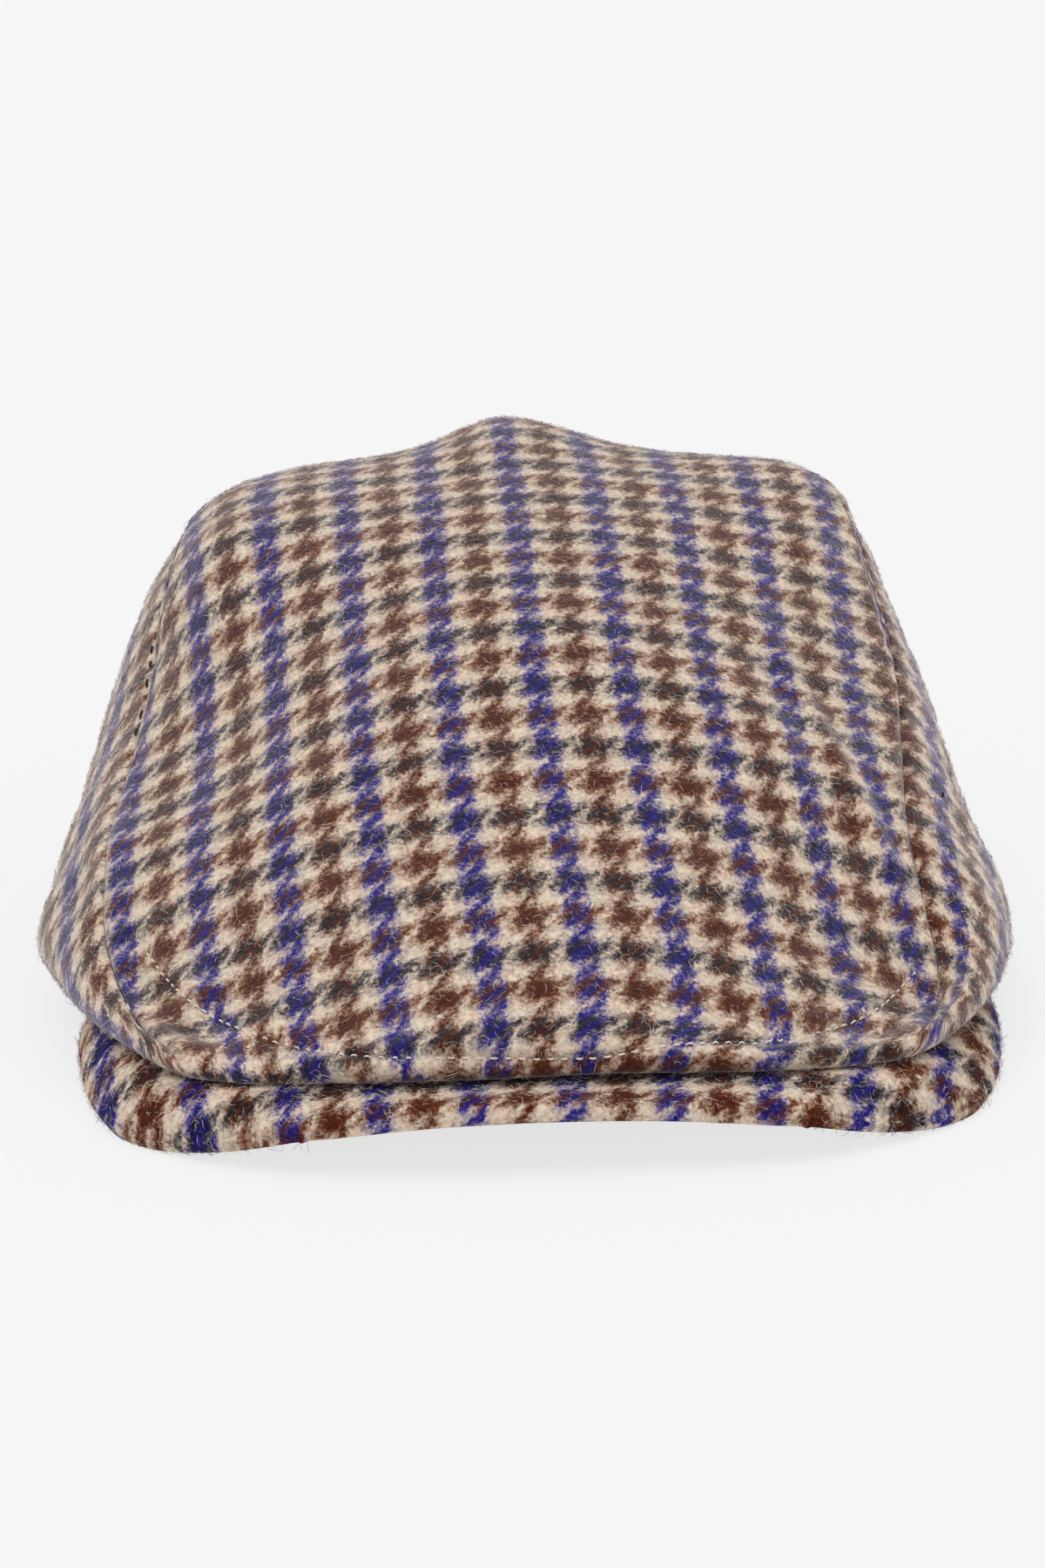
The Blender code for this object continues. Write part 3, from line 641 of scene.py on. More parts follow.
lift = unevenness(base)
on_left = to_left < to_right
at_front = np.clip((1.30 - kinds[:, None]) / 0.12, 0, 1)    # 1 along the front part of a side seam
soft_seam = seam_shape(d_seam, 0.22, 0.30, 0.45) * at_front + seam_shape(d_seam) * (1 - at_front)
edged = seam_shape(d_seam, 0.20, 0.40, 0.40, 0.40) * at_front + seam_shape(d_seam) * (1 - at_front)
lift += np.where(on_left, edged, soft_seam) + shoulder_tuck(base, d_side, 0.60, 2.2)
pull = 0.5 + 0.5 * np.cos(2 * np.pi * s_stitch / 2.6)
lift -= (0.42 + 0.22 * pull) * np.exp(-(d_stitch / 0.95) ** 2)
lift += 0.22 * np.exp(-((d_stitch - 2.6) / 1.5) ** 2)
fade = np.clip(s_crease / 14.0, 0, 1) * np.clip((s_crease.max() - s_crease) / 10.0, 0, 1)
lift += fade * (0.95 * np.exp(-(d_crease / 3.0) ** 2) - 0.45 * np.exp(-((d_crease - 6.0) / 3.2) ** 2))
lift += 0.10 * np.cos(2 * np.pi * down_col / 7.3 + 1.3 * waves(base, 30.0, 21)) * np.exp(-(d_side / 4.0) ** 2)
hidden = np.clip((kinds[:, None] - 0.12) / 0.12, 0, 1)     # nothing on the tucked cloth
lift = lift * hidden
top_outer = base + n0 * lift[..., None]
top_outer[..., 2] = np.where(kinds[:, None] < 0.45, np.maximum(top_outer[..., 2], base[..., 2] - 0.05), top_outer[..., 2])
top_inner = top_outer - calm_normals(even_out(top_outer, 2), INSIDE) * CLOTH
for i, r in enumerate(kinds):                               # the tucked cloth lies level
    if r <= 0.2:
        top_inner[i] = top_outer[i] + np.array([0.0, 0.0, CLOTH * 0.8])

known = (tags > 0.999) & (kinds[:, None] >= 1.0)
plan = cloth_of_top(base[..., 0], base[..., 1])
guess = plan.copy()
brow_row = int(np.argmax(kinds >= 1.0))
mid = base.shape[1] // 2
for i in range(base.shape[0]):
    ok = np.nonzero(known[i])[0]
    if len(ok):
        a, b = ok[0], ok[-1]
        guess[i, :a] = guess[i, a] - np.stack([along_row[i, a] - along_row[i, :a], np.zeros(a)], -1)
        guess[i, b + 1:] = guess[i, b] + np.stack([along_row[i, b + 1:] - along_row[i, b],
                                                   np.zeros(base.shape[1] - b - 1)], -1)
for i in range(brow_row - 1, -1, -1):
    guess[i] = guess[i + 1] - np.stack([np.zeros(base.shape[1]),
                                        np.linalg.norm(base[i + 1] - base[i], axis=1)], -1)
top_cloth = relax(base, guess, known, 500)
top_cloth += HALF * np.stack([spots(base, EASE, "across"), spots(base, EASE, "along")], -1)
top_panel = cloth_wall("top_panel_cloth", top_outer, top_inner, top_cloth)

# --- side panels
side_cloth, side_outer, side_fuzz = {}, {}, {}
SIDE_U = dict(left=0.0, right=0.0)
SIDE_V = dict(left=0.0, right=0.0)
panels = {"top": top_panel}
nk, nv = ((201, 61))
for side in ("left", "right"):
    sx = -1.0 if side == "left" else 1.0
    k_end = 1 - SEAM_HALF / 330.0
    t = np.linspace(0, 1, nk)
    ks = TIP_K[side] + (k_end - TIP_K[side]) * (0.85 * t + 0.15 * t * t)
    shares = np.concatenate([np.linspace(0, 0.86, nv - 8), np.linspace(0.86, 1, 9)[1:]])
    start = seam_v(ks, side)
    rough = side_point(ks, np.full_like(ks, 0.3), side) - side_point(ks, np.zeros_like(ks), side)
    tall = np.linalg.norm(rough, axis=1) / 0.3
    start = start + 2 * SEAM_HALF / np.maximum(tall, 8.0)
    kk = np.repeat(ks[:, None], nv, 1)
    vv = start[:, None] + (1 - start[:, None]) * shares[None]
    vv = np.minimum(vv, 1.0)
    p = side_point(kk, vv, side)
    p[..., 2] += spots(p, SHOULDERS, "high") * np.clip(1 - vv / WIDE_V, 0, 1)
    p = even_out(p, 2)
    n = normals(p, INSIDE)
    hang = arcs(p, 1)
    d_top = hang
    run = arcs(p, 0)
    d_back = run[-1:] - run
    near = np.clip((0.34 - kk) / 0.10, 0, 1)
    lift = unevenness(p) + seam_shape(d_back, 0.2, 0.9) + seam_shape(d_top) * (1 - near)
    lift += near * (seam_shape(d_top, 0.15, 0.55, 0.50) if side == "left" else seam_shape(d_top, 0.22, 0.30, 0.45))
    lift += 0.10 * np.cos(2 * np.pi * run / 7.3 + 1.3 * waves(p, 30.0, 21)) * np.exp(-(d_top / 4.0) ** 2)
    lift += shoulder_tuck(p, d_top, 1.15, 7.0)
    # soft folds that run down from the seam to the ear
    lift += 0.5 * np.clip(1 - np.abs(kk - 0.36) / 0.14, 0, 1) * np.sin((kk - 0.3) * 2 * np.pi / 0.085) * np.sin(np.pi * np.clip(vv / 0.8, 0, 1))
    calm = np.clip((RIM_V - 0.03 - vv) / 0.14, 0, 1)         # the hem lies flat
    lift = lift * calm
    outer = p + n * lift[..., None]
    outer[..., 2] = np.maximum(outer[..., 2], np.minimum(p[..., 2], 0.0))
    inner = outer - normals(even_out(outer, 2), INSIDE) * CLOTH
    flat = vv >= RIM_V - 1e-6
    inner[flat] = outer[flat] + np.array([0.0, 0.0, CLOTH])
    # the check follows the seam from which the cloth hangs
    ref = int(np.searchsorted(ks, 0.25))
    row = int(np.argmin(np.linalg.norm(base[:, 0 if side == "left" else -1] - p[ref, 0], axis=1)))
    u0, v0 = top_cloth[row, 0 if side == "left" else -1]
    rest = arcs(p[:, [nv // 3]], 0)[:, 0]
    rest = rest - rest[ref]
    guess = np.stack([u0 + sx * hang, v0 + np.repeat(rest[:, None], nv, 1)], -1)
    uv = relax(p, guess, np.zeros((nk, nv), bool), 160)
    uv = uv - uv[ref, 0] + np.array([u0 + SIDE_U[side], v0 + SIDE_V[side]])
    side_cloth[side], side_outer[side], side_fuzz[side] = uv, outer, (vv < RIM_V - 0.02) * 1.0
    panels[side] = cloth_wall("side_panel_%s_cloth" % side, outer, inner, uv)

# --- peak: upper and lower face meet in a rounded edge round the outside and the two tips
R_EDGE = PEAK_THICK / 2
TIP_ROUND = 11.0       # length over which the peak's tips narrow, mm
PEAK_U = -3.4          # where the check lies on the peak, mm
PEAK_V = 5.6
PEAK_EASE = table("row x across", ("a", -84.0, -4.0), ("b", -66.0, -4.6), ("c", -48.0, -3.1), ("d", -29.0, -0.9),
                  ("e", -12.0, 0.0), ("f", 24.0, 0.3), ("g", 48.0, 0.9), ("h", 68.0, 2.2), ("i", 86.0, 5.0))


def peak_upper(ks, across, slant=0.0):
    """Upper face; slant (radians) is the slope of the face at its edge, which the edge's rounding needs."""
    out, mid_, inn = peak_lines(ks)
    away = unit((out - mid_) * np.array([1.0, 1.0, 0.0]))
    mid_, inn = mid_ + np.array([0, 0, PEAK_THICK]), inn + np.array([0, 0, PEAK_THICK])
    out = out + np.array([0, 0, EDGE_LIFT])
    low_ = np.minimum(0.0, R_EDGE * (np.cos(slant) - np.sin(slant)))
    out = out + away * (R_EDGE * (np.cos(slant) + np.sin(slant) - 1) * np.ones(len(out)))[:, None]
    out[:, 2] += low_
    cols = []
    for a in across:
        if a <= UNDER_FOLD:
            q = inn + (mid_ - inn) * a / UNDER_FOLD
        else:
            t_ = (a - UNDER_FOLD) / (1 - UNDER_FOLD)
            q = hermite(mid_, mid_ - inn, out, 2 * (out - mid_) - (mid_ - inn), t_)
        cols.append(q)
    return np.stack(cols, 1)


def edge_spaced(total, n, both):
    """Distances along a line that crowd together over the rounding at its end (or both ends)."""
    bend = total - R_EDGE + R_EDGE * np.sin(np.linspace(0, np.pi / 2, 9))[1:]
    if both:
        return np.concatenate([(total - bend)[::-1], np.linspace(R_EDGE, total - R_EDGE, n - 16), bend])
    return np.concatenate([np.linspace(0, total - R_EDGE, n - 8), bend])


nkp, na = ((257, 33))
dense = np.linspace(0, 2, 401)
rim = peak_upper(dense, [0.75])[:, 0]
walk = np.concatenate([[0], np.cumsum(np.linalg.norm(np.diff(rim, axis=0), axis=1))])
kp = np.interp(edge_spaced(walk[-1], nkp, True), walk, dense)
raw = peak_upper(kp, np.linspace(0, 1, 61))
slant = np.arccos(np.clip(np.abs(unit(np.cross(np.gradient(raw, axis=0), np.gradient(raw, axis=1)))[:, -2, 2]), 0, 1))
slant = np.convolve(np.pad(slant, 6, "edge"), np.ones(13) / 13, "valid")
raw = peak_upper(kp, np.linspace(0, 1, 61), slant)
raw_run = arcs(raw, 1)
face, to_edge = [], []
for line, s_ in zip(raw, raw_run):
    want = edge_spaced(s_[-1], na, False)
    face.append(np.stack([np.interp(want, s_, line[:, i]) for i in range(3)], -1))
    to_edge.append(s_[-1] - want)
face, to_edge = np.stack(face), np.stack(to_edge)
walk_at = np.interp(kp, dense, walk)[:, None]
to_tip = np.minimum(walk_at, walk[-1] - walk_at)
# both tips draw in and up towards the hem that covers them
tip_share = 0.30 + 0.70 * np.sqrt(1 - (1 - np.clip(to_tip / TIP_ROUND, 0, 1)) ** 2)
face = face[:, :1] + (face - face[:, :1]) * tip_share[..., None]
BELOW = np.array([0.0, 60.0, -200.0])
fn = normals(even_out(face, 4), BELOW)
near_edge = np.clip(np.minimum(to_edge, to_tip), 0, R_EDGE)
round_off = R_EDGE - np.sqrt(np.clip(R_EDGE ** 2 - (R_EDGE - near_edge) ** 2, 0, None))
lift = (0.10 * waves(face, 24.0, 31) + 0.06 * waves(face, 8.0, 32)) * np.clip(to_edge / 4.0, 0.2, 1)
lift += 0.25 * np.exp(-((to_edge - 5.5) / 2.5) ** 2) - 0.10 * np.exp(-((to_edge - 9.0) / 2.0) ** 2)
upper = face + fn * (lift * np.clip(near_edge / R_EDGE, 0, 1) - round_off)[..., None]
lower = face - fn * (PEAK_THICK - 0.04 - round_off)[..., None]
lower[..., 2] = np.maximum(lower[..., 2], 0.02)
upper[..., 2] = np.maximum(upper[..., 2], lower[..., 2] + 0.03)
pcloth = relax(face, face[..., :2].copy(), np.zeros(face.shape[:2], bool), 160)
pcloth = pcloth - pcloth[nkp // 2, -1] + np.array([PEAK_U, PEAK_V])
pcloth[..., 0] += np.interp(face[..., 0], PEAK_EASE["x"], PEAK_EASE["across"])
outward = unit(pcloth[:, -1] - pcloth[:, -12])[:, None]
bent = R_EDGE * np.arcsin(np.clip((R_EDGE - np.clip(to_edge, 0, R_EDGE)) / R_EDGE, 0, 1))
p_up = pcloth + outward * (bent - (R_EDGE - np.clip(to_edge, 0, R_EDGE)))[..., None]
under = np.pi * R_EDGE - bent + np.clip(to_edge - R_EDGE, 0, None)
p_low = (pcloth[:, -1:] - outward * R_EDGE) + outward * under[..., None]


def closed_sheet(name, a, b, cloth_a, cloth_b):
    """A closed solid between two grids of the same size, its edges joined by one strip."""
    r, c = a.shape[:2]
    ia = np.arange(r * c).reshape(r, c)
    ib = ia + r * c
    qa = np.stack([ia[:-1, :-1], ia[:-1, 1:], ia[1:, 1:], ia[1:, :-1]], -1).reshape(-1, 4)
    qb = np.stack([ib[:-1, :-1], ib[1:, :-1], ib[1:, 1:], ib[:-1, 1:]], -1).reshape(-1, 4)
    loop_a = np.concatenate([ia[0, :-1], ia[:-1, -1], ia[-1, :0:-1], ia[:0:-1, 0]])
    loop_b = loop_a + r * c
    strip = np.stack([loop_a, loop_b, np.roll(loop_b, -1), np.roll(loop_a, -1)], -1)
    faces = np.concatenate([qa, qb, strip])
    verts = np.concatenate([a.reshape(-1, 3), b.reshape(-1, 3)])
    t_ = verts[faces]
    vol = (np.einsum("ij,ij->i", t_[:, 0], np.cross(t_[:, 1], t_[:, 2]))
           + np.einsum("ij,ij->i", t_[:, 0], np.cross(t_[:, 2], t_[:, 3]))).sum()
    if vol < 0:
        faces = faces[:, ::-1]
    uv = np.concatenate([cloth_a.reshape(-1, 2), cloth_b.reshape(-1, 2)])
    return mesh_object(name, verts, faces, {"cloth": uv[faces].reshape(-1, 2) / THREAD})


panels["peak"] = closed_sheet("peak_cloth", upper, lower, p_up, p_low)


# ------------------------------------------------------------------ colours and materials
def linear(r, g, b):
    f = lambda c: c / 12.92 if c <= 0.04045 else ((c + 0.055) / 1.055) ** 2.4
    return tuple(f(c / 255.0) for c in (r, g, b))


CREAM = linear(232, 219, 203)
BROWN = linear(74, 26, 8)
BLUE = linear(22, 18, 128)
DARK = linear(28, 25, 36)
BROWN_WEFT = linear(84, 33, 11)
STRAY = linear(206, 190, 176)         # pale stray fibres


class Nodes:
    """Short ways to add shader nodes to a tree."""

    def __init__(self, tree):
        self.tree = tree
        self.tree.nodes.clear()

    def add(self, kind, **settings):
        n = self.tree.nodes.new(kind)
        for key, value in settings.items():
            setattr(n, key, value)
        return n

    def put(self, socket, value):
        if isinstance(value, bpy.types.NodeSocket):
            self.tree.links.new(value, socket)
        else:
            socket.default_value = value

    def math(self, op, a, b=None, c=None):
        n = self.add("ShaderNodeMath", operation=op)
        self.put(n.inputs[0], a)
        if b is not None:
            self.put(n.inputs[1], b)
        if c is not None:
            self.put(n.inputs[2], c)
        return n.outputs[0]

    def vmath(self, op, a, b=None, scale=None):
        n = self.add("ShaderNodeVectorMath", operation=op)
        self.put(n.inputs[0], a)
        if b is not None:
            self.put(n.inputs[1], b)
        if scale is not None:
            self.put(n.inputs["Scale"], scale)
        return n.outputs[0]

    def mix(self, fac, a, b, blend="MIX"):
        n = self.add("ShaderNodeMix", data_type="RGBA", blend_type=blend)
        n.clamp_factor = True
        self.put(n.inputs[0], fac)
        for sock, v in ((n.inputs[6], a), (n.inputs[7], b)):
            self.put(sock, v if isinstance(v, bpy.types.NodeSocket) else (*v, 1.0))
        return n.outputs[2]

    def noise(self, vector, scale, detail=2.0, rough=0.5, distortion=0.0):
        n = self.add("ShaderNodeTexNoise", noise_dimensions="2D")
        self.put(n.inputs["Vector"], vector)
        n.inputs["Scale"].default_value = scale
        n.inputs["Detail"].default_value = detail
        n.inputs["Roughness"].default_value = rough
        n.inputs["Distortion"].default_value = distortion
        return n

    def ramp(self, value, a, b, lo=0.0, hi=1.0):
        """Smooth step from lo at a to hi at b."""
        n = self.add("ShaderNodeMapRange", interpolation_type="SMOOTHSTEP")
        self.put(n.inputs["Value"], value)
        n.inputs["From Min"].default_value = a
        n.inputs["From Max"].default_value = b
        n.inputs["To Min"].default_value = lo
        n.inputs["To Max"].default_value = hi
        return n.outputs[0]


BAND = 2.15             # half width of a band of yarn, in threads
EYE = 2.2               # yarn colours are mixed by eye, as fuzz does, and not by light


def by_eye(colour):
    return tuple(c ** (1 / EYE) for c in colour)


def weave_group(soft=0.70, twill_soft=0.80):
    """Colour (by eye) of the 2/2 twill gun-club check at a point counted in threads."""
    g = bpy.data.node_groups.new("twill_check", "ShaderNodeTree")
    g.interface.new_socket("Threads", in_out="INPUT", socket_type="NodeSocketVector")
    g.interface.new_socket("Color", in_out="OUTPUT", socket_type="NodeSocketColor")
    n = Nodes(g)
    i, o = n.add("NodeGroupInput"), n.add("NodeGroupOutput")
    xyz = n.add("ShaderNodeSeparateXYZ")
    n.put(xyz.inputs[0], i.outputs[0])
    u, v = xyz.outputs[0], xyz.outputs[1]

    def bands(t, first, second, wide):
        at = n.math("FLOORED_MODULO", n.math("ADD", t, 8.0), 16.0)
        at = n.math("ABSOLUTE", n.math("SUBTRACT", at, 8.0))
        one = n.ramp(at, wide - soft, wide + soft, 1.0, 0.0)
        two = n.ramp(at, 8.0 - BAND - soft, 8.0 - BAND + soft)
        return n.mix(two, n.mix(one, by_eye(CREAM), by_eye(first)), by_eye(second)), one

    warp, blue = bands(u, BLUE, BROWN, BAND + 0.15)
    weft, _ = bands(v, DARK, BROWN_WEFT, BAND)
    phase = n.math("FLOORED_MODULO", n.math("ADD", n.math("SUBTRACT", u, v), 1.5), 4.0)
    off = n.math("ABSOLUTE", n.math("SUBTRACT", phase, 2.0))
    off = n.math("SUBTRACT", off, n.math("MULTIPLY", blue, 0.12))
    over = n.ramp(off, 1.0 - twill_soft, 1.0 + twill_soft, 1.0, 0.0)
    n.put(o.inputs["Color"], n.mix(over, weft, warp))
    return g


WEAVE = weave_group()


def wool(name, seed, shade=1.0, sheen=0.34):
    """Brushed wool in the check: soft taps of the weave blended in patches, curly stray fibres."""
    m = bpy.data.materials.new(name)
    m.use_nodes = True
    n = Nodes(m.node_tree)
    uv = n.add("ShaderNodeUVMap", uv_map="cloth").outputs[0]
    place = n.vmath("ADD", uv, (seed * 37.0, seed * 53.0, 0.0))

    def shift(at, scale, detail, amount):
        t = n.noise(at, scale, detail, 0.5)
        return n.vmath("SCALE", n.vmath("SUBTRACT", t.outputs["Color"], (0.5, 0.5, 0.5)), scale=amount)

    def weave(vector):
        w = n.add("ShaderNodeGroup")
        w.node_tree = WEAVE
        n.put(w.inputs[0], vector)
        return w.outputs[0]

    slow = n.vmath("ADD", uv, shift(place, 0.25, 1.0, 1.3))      # threads don't run quite straight

    def tap(off, scale, amount):
        at = n.vmath("ADD", place, (off[0] * 13.7 + 3.0, off[1] * 21.1, 0.0))
        moved = n.vmath("ADD", slow, shift(at, scale, 1.0, amount))
        return weave(n.vmath("ADD", moved, (off[0], off[1], 0.0))), at

    colour, _ = tap((0.04, -0.07), 0.5, 2.0)
    for off, scale, blot, most in (((0.70, 0.26), 0.6, 0.9, 0.60), ((-0.36, 0.66), 0.66, 1.17, 0.60),
                                   ((-0.36, -0.74), 0.78, 1.44, 0.55)):
        other, at = tap(off, scale, 2.6)
        colour = n.mix(n.ramp(n.noise(at, blot, 1.2).outputs[0], 0.38, 0.60, 0.0, most), colour, other)

    masks = []
    for off, scale, width, strength, reach, pale in (((5.0, 9.0), 0.45, 0.070, 0.45, 7.0, 0.45),
                                                     ((23.0, 2.0), 0.70, 0.080, 0.40, 8.0, 0.30)):
        at = n.vmath("ADD", place, (off[0], off[1], 0.0))
        line = n.math("ABSOLUTE", n.math("SUBTRACT", n.noise(at, scale, 0.0).outputs[0], 0.5))
        mask = n.ramp(line, width * 0.15, width, 1.0, 0.0)
        gate = n.ramp(n.noise(at, 0.8, 1.0).outputs[0], 0.42, 0.58)
        hue = n.mix(pale, weave(n.vmath("ADD", slow, shift(at, 0.25, 1.0, reach))), by_eye(STRAY))
        colour = n.mix(n.math("MULTIPLY", n.math("MULTIPLY", mask, gate), strength), colour, hue)
        masks.append(mask)
    light = n.add("ShaderNodeGamma")
    n.put(light.inputs[0], colour)
    light.inputs[1].default_value = EYE

    # wool isn't one shade: warm and cool patches. Painted shade darkens the colour where the bump below is low, in
    # the hollows between threads
    tint = n.ramp(n.noise(place, 0.35, 2.0, 0.6).outputs[0], 0.35, 0.65)
    colour = n.mix(1.0, light.outputs[0], n.mix(tint, linear(255, 241, 232), linear(248, 246, 238)), "MULTIPLY")
    # painted shade: this noise is also the bump height, and the colour is darker where the bump is low
    grain_and_hollow_shade = n.noise(place, 1.0, 1.5, 0.55).outputs[0]
    colour = n.vmath("SCALE", colour, scale=n.ramp(grain_and_hollow_shade, 0.30, 0.68, 0.78 * shade, 1.03 * shade))

    b = n.add("ShaderNodeBsdfPrincipled")
    n.put(b.inputs["Base Color"], colour)
    b.inputs["Roughness"].default_value = 0.95
    b.inputs["Specular IOR Level"].default_value = 0.10
    b.inputs["Sheen Weight"].default_value = sheen
    b.inputs["Sheen Roughness"].default_value = 0.42
    b.inputs["Sheen Tint"].default_value = (1.0, 0.93, 0.92, 1.0)
    high = n.math("MULTIPLY", grain_and_hollow_shade, 0.9)
    for mask in masks:
        high = n.math("ADD", high, n.math("MULTIPLY", mask, 0.15))
    bump = n.add("ShaderNodeBump")
    bump.inputs["Strength"].default_value = 0.6
    bump.inputs["Distance"].default_value = 0.00035
    n.put(bump.inputs["Height"], high)
    n.put(b.inputs["Normal"], bump.outputs[0])
    out = n.add("ShaderNodeOutputMaterial")
    m.node_tree.links.new(b.outputs[0], out.inputs["Surface"])
    return m


def plain(name, colour, rough=0.9, sheen=0.3, spec=0.2):
    m = bpy.data.materials.new(name)
    m.use_nodes = True
    b = m.node_tree.nodes["Principled BSDF"]
    b.inputs["Base Color"].default_value = (*colour, 1.0)
    b.inputs["Roughness"].default_value = rough
    b.inputs["Specular IOR Level"].default_value = spec
    b.inputs["Sheen Weight"].default_value = sheen
    b.inputs["Sheen Roughness"].default_value = 0.5
    return m


def spindles(path, radius):
    """Closed bent fibres: (n, 4, 3) points of each, a point, two rings of three, a point."""
    n = len(path)
    ahead = unit(np.stack([path[:, 2] - path[:, 0], path[:, 3] - path[:, 1]], 1))
    ref = np.cross(ahead, np.array([0.31, 0.52, 0.79]))
    a = unit(ref)
    b = np.cross(ahead, a)
    ang = np.array([0.0, 2.0944, 4.1888])
    ring = (path[:, 1:3, None] + radius[:, None, None, None]
            * (a[:, :, None] * np.cos(ang)[None, None, :, None] + b[:, :, None] * np.sin(ang)[None, None, :, None]))
    verts = np.concatenate([path[:, :1], ring.reshape(n, 6, 3), path[:, 3:]], 1)
    f = np.array([(0, 2, 1), (0, 3, 2), (0, 1, 3), (1, 2, 5), (1, 5, 4), (2, 3, 6), (2, 6, 5), (3, 1, 4),
                  (3, 4, 6), (4, 5, 7), (5, 6, 7), (6, 4, 7)])
    faces = (f[None] + 8 * np.arange(n)[:, None, None]).reshape(-1, 3)
    return verts.reshape(-1, 3), faces


def yarn_at(uv, rng):
    """Which yarn shows at points of the cloth: 0 cream, 1 brown, 2 blue, 3 dark."""
    t = uv / THREAD + rng.normal(0, 0.45, uv.shape)
    at = np.abs((t + 8) % 16 - 8)
    warp = np.where(at[:, 0] < BAND, 2, np.where(at[:, 0] > 8 - BAND, 1, 0))
    weft = np.where(at[:, 1] < BAND, 3, np.where(at[:, 1] > 8 - BAND, 1, 0))
    over = np.abs((t[:, 0] - t[:, 1] + 1.5) % 4 - 2) < 1.0 + 0.12 * (warp == 2)
    return np.where(over, warp, weft)


FIBRES = [("cream", plain("fibre_cream", linear(228, 215, 200))), ("brown", plain("fibre_brown", linear(86, 38, 24))),
          ("blue", plain("fibre_blue", linear(46, 44, 150))), ("dark", plain("fibre_dark", linear(48, 44, 56)))]


def fuzz(key, grid, cloth, count, seed, where=None):
    """Short curly fibres that lie on and stand a little proud of a panel."""
    rng = np.random.default_rng(seed)
    g = grid
    e1, e2 = g[1:, 1:] - g[:-1, :-1], g[1:, :-1] - g[:-1, 1:]
    area = 0.5 * np.linalg.norm(np.cross(e1, e2), axis=-1)
    if where is not None:
        area = area * where[:-1, :-1]
    pick = rng.choice(area.size, count, p=area.ravel() / area.sum())
    i, j = np.unravel_index(pick, area.shape)
    a, b = rng.random(count)[:, None], rng.random(count)[:, None]
    nrm = normals(even_out(g, 1), INSIDE if key != "peak" else BELOW)

    def at(q):
        return ((1 - a) * (1 - b) * q[i, j] + (1 - a) * b * q[i, j + 1] + a * (1 - b) * q[i + 1, j]
                + a * b * q[i + 1, j + 1])

    p, nn, uv = at(g), unit(at(nrm)), at(cloth)
    t1 = unit(np.cross(nn, rng.normal(size=(count, 3))))
    t2 = np.cross(nn, t1)
    turn = np.cumsum(np.stack([np.zeros(count), rng.normal(0, 0.9, count), rng.normal(0, 1.1, count)], 1), 1)
    size = np.clip(rng.lognormal(0.78, 0.34, count), 1.1, 4.2) / 3
    path = [p - nn * 0.12]
    high = [rng.uniform(0.05, 0.30, count), rng.uniform(0.08, 0.55, count) ** 1.2, rng.uniform(-0.1, 0.75, count)]
    spot = p.copy()
    for s_ in range(3):
        step = (t1 * np.cos(turn[:, s_:s_ + 1]) + t2 * np.sin(turn[:, s_:s_ + 1])) * size[:, None]
        spot = spot + step
        path.append(spot + nn * high[s_][:, None])
    path = np.stack(path, 1)
    path[..., 2] = np.maximum(path[..., 2], 0.06)
    yarn = yarn_at(uv, rng)
    yarn = np.where((yarn > 0) & (rng.random(count) < 0.22), 0, yarn)
    radius = rng.uniform(0.026, 0.046, count)
    for c, (colour, mat) in enumerate(FIBRES):
        mine = yarn == c
        v_, f_ = spindles(path[mine], radius[mine])
        ob_ = mesh_object("%s_fibres_%s" % (key, colour), v_, f_)
        ob_.data.materials.append(mat)
        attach(ob_, "root")


def tubes(name, lines, radius, sides, mat):
    """Short closed lengths of thread, one for each line of points."""
    vs, fs, base_ = [], [], 0
    ang = np.linspace(0, 2 * np.pi, sides, endpoint=False)
    for line in lines:
        m_ = len(line)
        d = unit(np.gradient(line, axis=0))
        a = unit(np.cross(d, np.array([0.2, 0.1, 1.0])))
        b = np.cross(d, a)
        taper = radius * np.concatenate([[0.55], np.ones(m_ - 2), [0.55]])
        ring = line[:, None] + taper[:, None, None] * (a[:, None] * np.cos(ang)[None, :, None]
                                                      + b[:, None] * np.sin(ang)[None, :, None])
        v_ = np.concatenate([ring.reshape(-1, 3), line[:1], line[-1:]])
        for r_ in range(m_ - 1):
            for q in range(sides):
                p0, p1 = base_ + r_ * sides + q, base_ + r_ * sides + (q + 1) % sides
                fs += [(p0, p1, p1 + sides), (p0, p1 + sides, p0 + sides)]
        c0, c1 = base_ + m_ * sides, base_ + m_ * sides + 1
        for q in range(sides):
            fs += [(c0, base_ + (q + 1) % sides, base_ + q),
                   (c1, base_ + (m_ - 1) * sides + q, base_ + (m_ - 1) * sides + (q + 1) % sides)]
        vs.append(v_)
        base_ += len(v_)
    ob_ = mesh_object(name, np.concatenate(vs), np.array(fs))
    ob_.data.materials.append(mat)
    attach(ob_, "root")
    return ob_


NODES = dict(top="top_panel", left="side_panel_left", right="side_panel_right", peak="peak")
for i, (key, ob) in enumerate(panels.items()):
    ob.data.materials.append(wool("check_wool_" + key, i + 1, *((0.935, 0.05) if key == "peak" else (0.935, 0.72))))
    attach(ob, "root")
    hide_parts(NODES[key])



# ------------------------------------------------------------------ fuzz and stitching
share = 1.0
fuzz("top", top_outer, top_cloth, int(27500 * share), 101, (kinds[:, None] > 0.25) * np.ones(base.shape[:2]))
for side in ("left", "right"):
    fuzz(side, side_outer[side], side_cloth[side], int(11800 * share), 102 + (side == "right"),
         side_fuzz[side])
fuzz("peak", upper, p_up, int(5600 * share), 104, (to_edge < 26.0) * np.ones(to_edge.shape))

